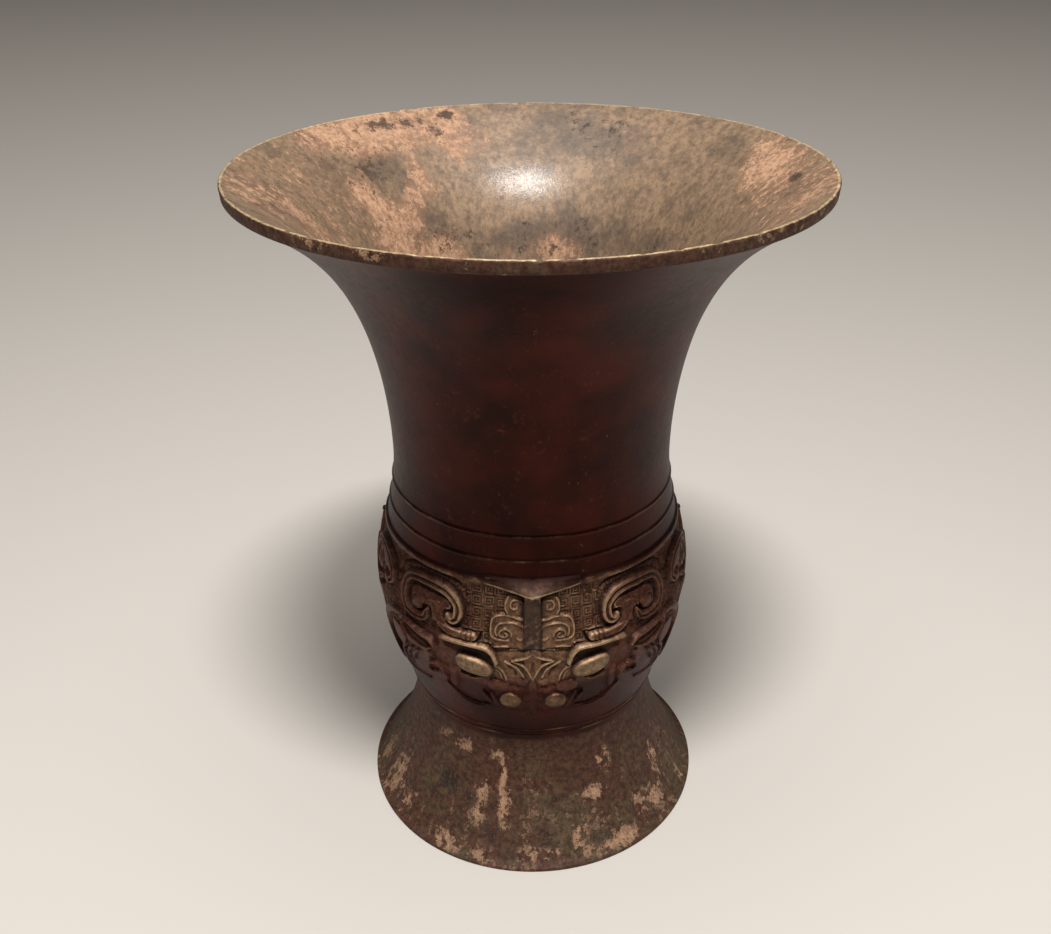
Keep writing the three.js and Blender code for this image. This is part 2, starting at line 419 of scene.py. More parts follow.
    def hooked(self, curve: list[Point], width: float, rise: float) -> list[Line]:
        """Gives a broad band with a hooked root and a channel along its middle.

        Args:
            curve: The band's middle from the root to the tip.
            width: Its width in millimetres.
            rise: Its rise.

        Returns:
            The band and its channel.
        """
        return [
            Line(curve, width + 2.6, 0.0, Cut.MOAT, 0.8, 0.9),
            Line(curve, width, rise, Cut.BAND, 0.45, 0.6),
            Line(curve[2:], 1.35, rise * 0.5, Cut.GROOVE, 1.0, 0.8),
        ]

    def coiled(self, centre: Point) -> list[Line]:
        """Gives the channel, the rim and the notch of a coil round its knob.

        Args:
            centre: The knob's middle.

        Returns:
            The coil's lines.
        """
        u, z = centre
        ring = [(u - 1.4, z + 4.4), (u - 4.1, z + 1.6), (u - 3.9, z - 2.6), (u - 1.0, z - 4.6),
                (u + 2.6, z - 4.2)]
        return [
            Line(ring, 0.9, 0.9, Cut.GROOVE, 0.6, 0.6),
            Line([(p[0] - 0.9, p[1] - 0.9) for p in ring[1:]], 0.7, 0.7, Cut.THREAD),
            Line([(u - 0.4, z + 1.4), (u + 1.2, z + 1.2), (u + 1.3, z - 0.8)], 0.7, 0.8, Cut.GROOVE),
        ]

    def horn(self) -> list[Line]:
        """Gives the horn's hooked root, its band, its coil and the channel over it, and the bar under it."""
        curve = [(30.4, 117.0), (29.8, 115.5), (28.2, 115.0), (26.8, 116.4), (26.2, 119.6), (27.0, 122.6),
                 (29.6, 125.2), (33.4, 126.6), (38.6, 127.0), (45, 126.6), (49.2, 125), (51.3, 121),
                 (51.4, 116), (49.8, 112), (46, 110.6), (42, 110.7), (39.8, 112.2), (39.4, 114.4)]
        return [
            Line([(23.6, 125.6), (25.6, 129), (30, 131), (36, 131.4), (46, 131), (54.4, 128.2), (57.6, 122)],
                 1.6, 0.9, Cut.GROOVE, 0.6, 0.6),
            *self.hooked(curve, 3.7, 1.9),
            *self.coiled((44.4, 117.8)),
            Line([(28.9, 121.6), (29.5, 120.0), (31.2, 119.4), (32.4, 117.6), (32.2, 115.6)],
                 0.8, 0.7, Cut.THREAD),
            Line([(33.6, 120.9), (36.6, 120.6), (39.4, 119.2)], 0.7, 0.6, Cut.THREAD),
            Line([(34.6, 113.2), (36.2, 115.4), (36.4, 118)], 0.7, 0.6, Cut.THREAD),
            Line([(18, 112.2), (18.8, 109.3), (21.5, 107.9), (29, 107.9), (33.4, 109.4)],
                 1.1, 1.0, Cut.GROOVE),
            Line([(20.5, 110.4), (25, 110.1), (30, 110.6), (33.6, 112.4)], 3.4, 2.0, Cut.BAND, 0.9, 0.5),
            *[Line([(d, 111.9), (d, 108.8)], 0.45, 0.3, Cut.GROOVE) for d in (21.2, 22.8, 24.6)],
            Line([(19.2, 113.5), (22.4, 113.6), (25, 112.9)], 0.8, 0.8, Cut.THREAD),
        ]

    def eye(self) -> list[Line]:
        """Gives the brow, the hollow under it and the lower lid."""
        return [
            Line([(13.6, 102.6), (20, 103.8), (31.2, 103.6)], 5.4, 1.0, Cut.GROOVE, 0.7, 0.8),
            Line([(15.4, 104.6), (22, 105.0), (30.4, 104.8)], 0.7, 0.6, Cut.THREAD),
            Line([(12.3, 100.6), (13.1, 103.8), (14.6, 106), (17, 107), (24, 107.1), (32.4, 107)], 1.6, 2.8),
            Line([(18, 91.4), (21.3, 90.0), (26.2, 91.5)], 1.1, 1.8, Cut.BAND, 0.5, 0.5),
        ]

    def nose(self) -> list[Line]:
        """Gives the ridge of the nose, its wings, nostril hooks and cheeks."""
        return [
            Line([(0, 92.4), (0, 82), (0, 72.4)], 3.4, 1.1, Cut.BAND, 0.3, 0.7),
            Line([(4.4, 77.8), (4.1, 75.2), (5.8, 73.6), (8.8, 73.4)], 1.1, 1.0, Cut.BAND, 0.7, 0.5),
            Line([(12.6, 76.2), (13.8, 80.2), (15.4, 84)], 1.8, 1.9, Cut.BAND, 1, 0.5),
            Line([(15.6, 77.2), (16.9, 80.2), (18.6, 82.8)], 1.4, 1.5, Cut.BAND, 1, 0.5),
        ]

    def ear_and_jaw(self) -> list[Line]:
        """Gives the pointed ear and the curled jaw under it."""
        return [
            Line([(38.4, 100.0), (44, 100.6), (52.4, 102.2)], 3.2, 1.2, Cut.GROOVE, 1, 0.4),
            Line([(36.0, 100.6), (38.2, 103), (42.6, 103.8), (51.4, 105.4)], 1.7, 2.5, Cut.BAND, 0.6, 0.6),
            Line([(38, 98.6), (40.4, 97.1), (44.8, 96.5), (50, 98.4), (54.2, 102)],
                 1.4, 2.0, Cut.BAND, 0.6, 0.5),
            Line([(33.0, 86.6), (34.1, 89.5), (37, 90.8), (40, 89.6), (40.9, 87), (39, 85.4), (37, 86.8)],
                 1.5, 2.0),
            Line([(32.2, 86), (33.6, 83.4), (35.6, 81.4)], 1.6, 1.9, Cut.BAND, 0.6, 0.5),
            Line([(16.2, 74.6), (22, 73.4), (29, 75.8), (33.8, 80.8)], 2.4, 0.8, Cut.BAND, 0.6, 0.6),
            Line([(18.8, 73.9), (23, 73.6), (28.6, 75.8)], 0.7, 0.3, Cut.GROOVE),
        ]

    def body_and_legs(self) -> list[Line]:
        """Gives the coiled shoulder, the leg and the tail between the horn and the side rib."""
        shoulder = [(66, 116.6), (64.8, 115.2), (62.6, 115.4), (60.6, 118), (61.4, 122.2), (65.6, 125.4),
                    (72.4, 126.5), (79, 124.8), (82.4, 119.6), (81.4, 113.4), (77, 110.5), (72.6, 110.9),
                    (70.4, 113.4)]
        leg = [(54.8, 105.2), (61.4, 103.2), (67.2, 98), (70.2, 90), (68.2, 82), (62.8, 78.4), (57.8, 80.6),
               (57.2, 85)]
        tail = [(73.6, 106.4), (80.4, 104), (84.6, 97), (84, 88.6), (79.6, 84), (75.2, 86.4), (75.4, 90)]
        return [
            *self.hooked(shoulder, 3.5, 1.8),
            *self.coiled((75.2, 117.8)),
            *self.hooked(leg, 3.3, 1.6)[1:],
            *self.hooked(tail, 3.2, 1.5)[1:],
            *[Line([(46 + 4 * i, 92 - i), (49.4 + 4 * i, 88 - i), (51 + 4 * i, 83.4 - i)],
                   1.5, 1.5, Cut.BAND, 0.6, 0.5)
              for i in range(3)],
            Line([(44, 77.4), (52, 75), (62, 74.2), (76, 75.6), (86, 79)], 2.0, 0.7, Cut.BAND, 0.6, 0.8),
        ]

    def smoothed(self, path: Sequence[Point], per_span: int = 10) -> np.ndarray:
        """Runs a Catmull-Rom curve through a path.

        Args:
            path: The points as degrees and millimetres.
            per_span: Points made for each span.

        Returns:
            The curve's points in millimetres along and up.
        """
        p = np.array(path, float) * (self.degree, 1)
        if len(p) == 2:
            return p
        p = np.vstack([2 * p[0] - p[1], p, 2 * p[-1] - p[-2]])
        t = np.linspace(0, 1, per_span, endpoint=False)[:, None]
        spans = [
            0.5 * (2 * b + (c - a) * t + (2 * a - 5 * b + 4 * c - d) * t**2 + (3 * b - a - 3 * c + d) * t**3)
            for a, b, c, d in zip(p[:-3], p[1:-2], p[2:-1], p[3:])
        ]
        return np.vstack([*spans, p[-2:-1]])

    def distance(self, line: Line, along: np.ndarray, up: np.ndarray) -> tuple[np.ndarray, np.ndarray]:
        """Measures how far each place is from a line's curve, and how far along the curve it lies.

        Args:
            line: The line.
            along: Millimetres round the wall, by row and column.
            up: Heights, by row and column.

        Returns:
            The distances, and shares of the curve's length from 0 to 1.
        """
        curve = self.smoothed(line.path)
        start, step = curve[:-1], np.diff(curve, axis=0)
        best = np.full(along.shape, np.inf)
        share = np.zeros(along.shape)
        for i, (p, d) in enumerate(zip(start, step)):
            t = np.clip(((along - p[0]) * d[0] + (up - p[1]) * d[1]) / max(d @ d, 1e-9), 0, 1)
            gap = np.hypot(along - p[0] - t * d[0], up - p[1] - t * d[1])
            nearer = gap < best
            best = np.where(nearer, gap, best)
            share = np.where(nearer, (i + t) / len(step), share)
        return best, share

    def window(self, low: Point, high: Point, margin: float) -> tuple[slice, slice]:
        """Finds the part of the table round a box.

        Args:
            low: The box's least millimetres along and up.
            high: Its most.
            margin: Millimetres added all round.

        Returns:
            The rows and the columns.
        """
        spans = []
        for least, most, start in ((low[1], high[1], self.low), (low[0], high[0], 0.0)):
            first = int((least - margin - start) / self.cell)
            last = int((most + margin - start) / self.cell) + 2
            spans.append(slice(max(0, first), max(0, last)))
        return spans[0], spans[1]

    def ground(self, along: np.ndarray, up: np.ndarray) -> np.ndarray:
        """Gives the field of small square spirals behind the mask, as rises from 0 down.

        Args:
            along: Millimetres round the wall.
            up: Heights.

        Returns:
            The rises, by row and column.
        """
        x, y = along / self.ground_pitch, up / self.ground_pitch + 0.4
        column, row = np.floor(x), np.floor(y)
        across, tall = (x - column - 0.5) * 2, (y - row - 0.5) * 2
        across = np.where((column + row) % 2 > 0, across, -across)
        sideways = abs(across) > abs(tall)
        side = np.where(sideways, np.where(across > 0, 0, 2), np.where(tall > 0, 1, 3))
        turn = (side + (column * 7 + row * 3) % 4) / 4
        wave = (np.maximum(abs(across), abs(tall)) * 2.2 - turn) % 1
        line = smooth(0.06, 0.28, wave) * (1 - smooth(0.6, 0.82, wave))
        degrees = along / self.degree
        upper = smooth(2.6, 3.4, degrees) * smooth(105.5, 107.5, up) * (1 - smooth(130.4, 131.6, up))
        lower = smooth(53, 55, degrees) * smooth(76, 77, up) * (1 - smooth(105.5, 107.5, up))
        return self.ground_depth * (line - 1) * (upper + lower * 0.8)

    def ribs(self, along: np.ndarray, up: np.ndarray) -> np.ndarray:
        """Gives the front rib with the shoulder over it, the side rib and the border strip above the mask.

        Args:
            along: Millimetres round the wall.
            up: Heights.

        Returns:
            The rises, by row and column.
        """
        degrees = along / self.degree
        front = 1 - smooth(*self.front_rib, degrees)
        front = front * smooth(106.6, 108.2, up) * (1.4 + 1.9 * smooth(108, 131, up))
        front = front * (1 - smooth(131, 131.6, up))
        side = (1 - smooth(1.5, 2.0, self.side_rib_at - along)) * smooth(71, 73, up)
        side = side * (1 - smooth(131, 132, up))
        side = side * (1.5 + 0.5 * (np.floor((up - 71) / 12) % 2))
        spread = np.clip(degrees / self.shoulder_reach, 0, 1)
        ledge = 129.7 + 2.8 * spread**0.8
        shoulder = (0.9 + 3.6 * (1 - spread) ** 1.7) * smooth(-0.35, 0.5, up - ledge)
        shoulder = shoulder * (1 - smooth(0.6, 5.6, up - ledge)) + 0.25 * smooth(-0.35, 0.5, up - ledge)
        strip = 0.9 * smooth(131.6, 132.4, up) * (1 - smooth(134.0, 134.8, up))
        return np.maximum.reduce([front, side, shoulder * (1 - smooth(0.85, 1, spread)), strip])

    def dome(self, boss: Boss, along: np.ndarray, up: np.ndarray, flatness: float) -> np.ndarray:
        """Gives a knob's rise over the wall, and nothing outside it.

        Args:
            boss: The knob.
            along: Millimetres round the wall.
            up: Heights.
            flatness: A power, under one for a flat top with steep sides.

        Returns:
            The rises, by row and column.
        """
        across = (along - boss.centre[0] * self.degree) / (boss.size[0] * self.degree)
        tall = abs(up - boss.centre[1] - boss.lift / 2 * across) / boss.size[1]
        return boss.rise * np.clip(1 - abs(across) ** boss.power - tall**boss.power, 0, 1) ** flatness

    def tables(self) -> tuple[np.ndarray, np.ndarray]:
        """Works out the half mask by row up and column round.

        Returns:
            The rises in millimetres, and how bare of patina each place is, from 0 to 1.
        """
        rows = int((self.high - self.low) / self.cell) + 2
        columns = int(90 * self.degree / self.cell) + 2
        up, along = np.meshgrid(
            self.low + np.arange(rows) * self.cell, np.arange(columns) * self.cell, indexing="ij"
        )
        rise = self.ground(along, up)
        for plate in self.plates:
            dome = self.dome(plate, along, up, self.plate_flatness)
            rise = np.where(dome > 0.02, np.maximum(rise, dome), rise)
        fine = [line for line in self.lines if line.cut is Cut.GROOVE and line.width < self.fine_groove]
        self.carve(self.lines, rise, along, up)
        for boss in self.bosses:
            dome = self.dome(boss, along, up, self.knob_flatness)
            rise = np.where(dome > 0.02, np.maximum(rise, dome), rise)
        self.carve(fine, rise, along, up)
        ribs = self.ribs(along, up)
        domes = [self.dome(boss, along, up, self.knob_flatness) / boss.rise for boss in self.bare]
        bare = np.maximum.reduce([smooth(0.2, 0.55, dome) for dome in domes])
        return np.where(ribs > 0.02, np.maximum(rise, ribs), rise), bare

    def carve(self, lines: Sequence[Line], rise: np.ndarray, along: np.ndarray, up: np.ndarray) -> None:
        """Lays lines on the table of rises in their order.

        Args:
            lines: The lines.
            rise: The rises, which are changed.
            along: Millimetres round the wall.
            up: Heights.
        """
        for line in lines:
            curve = self.smoothed(line.path)
            at = self.window(tuple(curve.min(0)), tuple(curve.max(0)), line.width + 1.5)
            rise[at] = self.carved(line, rise[at], along[at], up[at])

    def carved(self, line: Line, rise: np.ndarray, along: np.ndarray, up: np.ndarray) -> np.ndarray:
        """Lays one line on the rises of a window.

        Args:
            line: The line.
            rise: The rises so far.
            along: Millimetres round the wall.
            up: Heights.

        Returns:
            The rises with the line.
        """
        gap, share = self.distance(line, along, up)
        start = line.start_width + (1 - line.start_width) * np.clip(share / 0.2, 0, 1)
        end = line.end_width + (1 - line.end_width) * np.clip((1 - share) / 0.3, 0, 1)
        half = line.width / 2 * start * end
        if line.cut is Cut.MOAT:
            return np.minimum(rise, np.where(gap < half, self.moat_floor, np.inf))
        if line.cut is Cut.BAND:
            top = line.rise * (1 - 0.1 * np.clip(gap / half, 0, 1) ** 2)
            side = smooth(-self.edge / 2, self.edge / 2, gap - half)
            return np.where(side < 1, np.maximum(rise, top * (1 - side)), rise)
        body = line.rise * (1 - smooth(half * 0.4, half * 1.25, gap))
        return rise + body if line.cut is Cut.THREAD else rise - body


@dataclass(frozen=True)
class Lamp:
    """A soft lamp, its place, the point that it faces and its size in metres, its power in watts."""

    name: str
    place: tuple[float, float, float]
    target: tuple[float, float, float]
    size: Point
    power: float


@dataclass(frozen=True)
class Studio:
    """The pale floor, the soft lights and the camera, in millimetres and degrees except the lamps.

    The main lamp hangs high in front of the vessel, so that the rim shades the neck. The room lamp fills
    softly.
    """

    camera_back: float = 391.2
    camera_height: float = 365.6
    pitch: float = 29.06
    yaw: float = 0.26
    roll: float = -0.19
    lens: float = 38.36
    sensor: float = 36.0
    shift: Point = (-0.0100, 0.0023)
    floor_size: float = 9000.0
    lamps: tuple[Lamp, ...] = (
        Lamp("main_lamp", (0.03, -0.39, 1.10), (0, 0, 0.15), (0.26, 0.1), 12),
        Lamp("room_lamp", (0, -0.3, 3.2), (0, 0, 0), (3.0, 3.0), 46),
    )

    def camera(self) -> None:
        """Makes the camera at the photograph's angle."""
        pitch, yaw, roll = (math.radians(a) for a in (self.pitch, self.yaw, self.roll))
        ahead = Vector(
            (math.sin(yaw) * math.cos(pitch), math.cos(yaw) * math.cos(pitch), -math.sin(pitch))
        )
        level = Vector((math.cos(yaw), -math.sin(yaw), 0))
        above = level.cross(ahead)
        right = level * math.cos(roll) + above * math.sin(roll)
        up = above * math.cos(roll) - level * math.sin(roll)
        data = bpy.data.cameras.new("camera")
        data.lens, data.sensor_width = self.lens, self.sensor
        data.sensor_fit = "HORIZONTAL"
        data.shift_x, data.shift_y = self.shift
        data.clip_start = 0.01
        camera = bpy.data.objects.new("camera", data)
        turned = Matrix((right, up, -ahead)).transposed().to_4x4()
        place = Matrix.Translation((0, -self.camera_back * MM, self.camera_height * MM))
        camera.matrix_world = place @ turned
        bpy.context.scene.collection.objects.link(camera)
        bpy.context.scene.camera = camera

    def floor(self) -> None:
        """Makes the floor in matt pale plaster."""
        half = self.floor_size * MM / 2
        mesh = bpy.data.meshes.new("floor")
        corners = [(-half, -half, 0), (half, -half, 0), (half, half, 0), (-half, half, 0)]
        mesh.from_pydata(corners, [], [(0, 1, 2, 3)])
        plaster = bpy.data.materials.new("matt_plaster_floor")
        plaster.use_nodes = True
        shader = plaster.node_tree.nodes["Principled BSDF"]
        shader.inputs["Base Color"].default_value = linear("cfc8bf")
        shader.inputs["Roughness"].default_value = 0.9
        mesh.materials.append(plaster)
        floor = bpy.data.objects.new("floor", mesh)
        bpy.context.scene.collection.objects.link(floor)

    def light(self, lamp: Lamp) -> None:
        """Hangs one lamp."""
        data = bpy.data.lights.new(lamp.name, "AREA")
        data.shape, data.size, data.size_y, data.energy = "ELLIPSE", *lamp.size, lamp.power
        made = bpy.data.objects.new(lamp.name, data)
        facing = (Vector(lamp.target) - Vector(lamp.place)).to_track_quat("-Z", "Y")
        made.matrix_world = Matrix.Translation(lamp.place) @ facing.to_matrix().to_4x4()
        bpy.context.scene.collection.objects.link(made)

    def lights(self) -> None:
        """Hangs the lamps, and sets the room's own faint light and the view's colours."""
        for lamp in self.lamps:
            self.light(lamp)
        world = bpy.data.worlds.new("room")
        world.use_nodes = True
        background = world.node_tree.nodes["Background"]
        background.inputs["Color"].default_value = linear("d8d2ca")
        background.inputs["Strength"].default_value = 0.2
        scene = bpy.context.scene
        scene.world = world
        scene.view_settings.view_transform = "Standard"


class Deposit(Enum):
    """What burial left on the wall."""

    EARTH = "a pinkish tan film of earth and red oxide"
    SOOT = "a near-black stain"


@dataclass(frozen=True)
class Stain:
    """A patch of one deposit on the inner or the outer face.

    The angle is in degrees from the front, the height and the half width and half height in millimetres.
    """

    kind: Deposit
    inner: bool
    angle: float
    z: float
    width: float
    height: float
    strength: float


@dataclass(frozen=True)
class Grain:
    """A noise pattern, its feature size in millimetres and the range of its values that is drawn out to 0..1.

    A stretch under one draws the features out along the wall, from foot to rim.
    """

    size: float
    detail: float
    rough: float
    low: float = 0.0
    high: float = 1.0
    stretch: float = 1.0


@dataclass(frozen=True)
class Film:
    """One film of the patina in two tones, laid where a weighted sum of patterns runs from low to high."""

    tones: tuple[str, str]
    parts: dict[str, float]
    low: float = 0.0
    high: float = 1.0
    cover: float = 1.0
    grain: str = "fleck"


@dataclass(frozen=True)
class PatinatedBronze:
    """Leaded tin bronze, cast and buried, then washed clean: a brown skin, worn on the high edges, under
    earth.

    The red-brown skin gives the outside its dark, slightly glossy look. The mask's band is painted paler than
    the neck, as painted light, and the casting's own tan on the mask's edges and the rim is partly wear and
    partly painted highlight; painted shade lies near black in the mask's hollows. Inside and on the foot, a
    grey-brown crust under pinkish earth is matt and mottled.
    """

    attributes: tuple[str, ...] = (
        "worn", "painted_shade", "inner", "rim", "bare", "earth", "soot", "belly", "scale"
    )
    # real casting pits are too fine to show in the render, so "pits" is drawn as coarse as it needs to show
    grains: dict[str, Grain] = field(default_factory=lambda: {
        "coarse": Grain(24, 5, 0.6, 0.38, 0.64),
        "middle": Grain(8, 6, 0.7, 0.4, 0.66),
        "fine": Grain(3, 7, 0.78),
        "fleck": Grain(2.2, 7, 0.78, 0.42, 0.68),
        "mottle": Grain(1.9, 7, 0.8, 0.38, 0.58, 0.6),
        "streaks": Grain(9.2, 8, 0.76, stretch=0.3),
        "freckle": Grain(1.3, 5, 0.75, 0.52, 0.68, 0.6),
        "pits": Grain(0.8, 4, 0.65),
    })
    # each film lies over those before it, and the skin lies everywhere, as its sum is always above its span
    films: dict[str, Film] = field(default_factory=lambda: {
        "skin": Film(("280e08", "43170d"), {"inner": 0}, -1, -0.5, 1, "coarse"),
        "blotch": Film(("4e2015", "6a3726"), {"middle": 0.4, "fleck": 0.6}, 0.5, 0.9, 0.42),
        # painted light: the mask's band is painted paler and browner than the neck, as the lit belly below
        # the rim's shadow
        "band": Film(("452318", "6e4431"), {"belly": 1, "middle": 0.16}, 0.36, 0.62),
        "painted_belly_light": Film(("62442e", "9a775a"), {"belly": 1, "middle": 0.2}, 0.82, 1.08, 0.9),
        # the foot's scale is browner and duller than the skin, and yellowish in blotches
        "hem": Film(("3e2217", "6c4a37"), {"scale": 1, "middle": 0.16}, 0.36, 0.6),
        "lees": Film(("3b3021", "7e6a4a"), {"scale": 0.6, "middle": 0.35, "coarse": 0.35}, 0.8, 1.1, 0.8),
        # the inner face is a matt tan crust, greyer and pinker in patches and pitted with dark pores
        "crust": Film(("685440", "967a5f"), {"inner": 1}, 0.3, 0.7, 1, "mottle"),
        "dull": Film(
            ("4a3d33", "625141"), {"inner": 0.5, "coarse": 0.35, "middle": 0.35, "soot": 0.5}, 0.9, 1.4, 0.75
        ),
        "blush": Film(("855d44", "a97c60"), {"inner": 0.2, "earth": 0.3, "streaks": 0.9}, 0.82, 1.12, 0.65),
        "pores": Film(("33281f", "443629"), {"inner": 0.5, "scale": 0.5, "freckle": 0.5}, 0.72, 1.0, 0.55),
        # earth and soot: the stain's place counts little beside the noise, so their edges are ragged
        "earth": Film(
            ("84624a", "be9676"), {"earth": 0.26, "streaks": 1.1, "fine": 1.3}, 1.49, 1.58, 0.8, "mottle"
        ),
        "soot": Film(("20140e", "33241b"), {"soot": 0.26, "streaks": 1.1, "fine": 1.3}, 1.5, 1.6, 0.8),
        "grime": Film(("2d1c12", "4a3323"), {"scale": 0.5, "fleck": 0.3, "middle": 0.3}, 0.55, 1.15, 0.55),
        # painted shade, near black, in the hollows and on the shoulder over the front rib; pale metal on the
        # knobs; pale wear with painted highlight on the mask's edges, the rings' crests and the rim
        "painted_shade": Film(("150a06", "1d110b"), {"painted_shade": 1}, 0, 1, 0.85),
        "bare": Film(("66503a", "9f8565"), {"bare": 1, "fine": 0.7}, 0.95, 1.4, 0.95),
        "worn": Film(("94755a", "c9a783"), {"worn": 1, "fine": 0.7}, 0.6, 1.4, 0.92),
        "rim": Film(("a08765", "cdb88f"), {"rim": 1, "fine": 0.9}, 1.24, 1.44, 0.9),
    })
    gloss: dict[str, dict[str, float]] = field(default_factory=lambda: {
        "Metallic": {"base": 0.85, "inner": -0.6, "scale": -0.5, "belly": -0.25, "earth film": -0.6},
        "Roughness": {
            "base": 0.36, "fine": 0.28, "scale": 0.22, "belly": 0.08, "earth film": 0.25, "inner": 0.14
        },
        "Coat Weight": {"inner": 0.42, "freckle": -0.22, "earth film": -0.4, "soot film": -0.3},
    })

    coat_roughness: float = 0.19
    bump_depth: float = 0.35 * MM

    def total(
        self, tree: bpy.types.NodeTree, value: dict[str, bpy.types.NodeSocket], parts: dict[str, float]
    ) -> bpy.types.NodeSocket | float:
        """Adds up patterns by their weights.

        Args:
            tree: The material's tree.
            value: The patterns by name.
            parts: A weight for each pattern's name, and under "base" what the sum starts from.

        Returns:
            The sum.
        """
        result = parts.get("base", 0.0)
        for name, weight in parts.items():
            if name != "base":
                terms = {0: value[name], 1: weight, 2: result}
                result = add_node(tree, "ShaderNodeMath", terms, operation="MULTIPLY_ADD")
        return result

    def patterns(self, tree: bpy.types.NodeTree) -> dict[str, bpy.types.NodeSocket]:
        """Adds the vessel's own attributes and the noise patterns.

        Args:
            tree: The material's tree.

        Returns:
            The socket of each by its name.
        """
        place = add_node(tree, "ShaderNodeTexCoord", output="Object")
        flow = add_node(tree, "ShaderNodeAttribute", output="Vector", attribute_name="flow")
        value = {
            name: add_node(tree, "ShaderNodeAttribute", output="Fac", attribute_name=name)
            for name in self.attributes
        }
        for name, grain in self.grains.items():
            drawn = add_node(tree, "ShaderNodeMapping", {"Vector": flow, "Scale": (1, 1, grain.stretch)})
            look = {
                "Vector": place if grain.stretch == 1 else drawn,
                "Scale": 1 / (grain.size * MM),
                "Detail": grain.detail,
                "Roughness": grain.rough,
            }
            noise = add_node(tree, "ShaderNodeTexNoise", look, "Fac")
            drawn_out = {"Value": noise, "From Min": grain.low, "From Max": grain.high}
            value[name] = add_node(tree, "ShaderNodeMapRange", drawn_out)
        return value

    def material(self) -> bpy.types.Material:
        """Builds the whole patina as one material that reads the vessel's own attributes.

        Returns:
            The material.
        """
        made = bpy.data.materials.new("cast_tin_bronze_with_burial_patina")
        made.use_nodes = True
        tree = made.node_tree
        shader = tree.nodes["Principled BSDF"]
        value = self.patterns(tree)
        colour = linear(self.films["skin"].tones[0])
        for name, film in self.films.items():
            span = {
                "Value": self.total(tree, value, film.parts),
                "From Min": film.low,
                "From Max": film.high,
                "To Max": film.cover,
            }
            share = add_node(tree, "ShaderNodeMapRange", span, interpolation_type="SMOOTHSTEP")
            tones = {0: value[film.grain], 6: linear(film.tones[0]), 7: linear(film.tones[1])}
            tone = add_node(tree, "ShaderNodeMix", tones, 2, data_type="RGBA")
            colour = add_node(tree, "ShaderNodeMix", {0: share, 6: colour, 7: tone}, 2, data_type="RGBA")
            value[f"{name} film"] = share
        tree.links.new(colour, shader.inputs["Base Color"])
        for socket, parts in self.gloss.items():
            limited = add_node(tree, "ShaderNodeClamp", {"Value": self.total(tree, value, parts)})
            tree.links.new(limited, shader.inputs[socket])
        shader.inputs["Coat Roughness"].default_value = self.coat_roughness
        uneven = self.total(tree, value, {"pits": 0.3, "fine": 0.7})
        relief = {"Strength": 0.4, "Distance": self.bump_depth, "Height": uneven}
        bump = add_node(tree, "ShaderNodeBump", relief)
        tree.links.new(bump, shader.inputs["Normal"])
        tree.links.new(bump, shader.inputs["Coat Normal"])
        return made


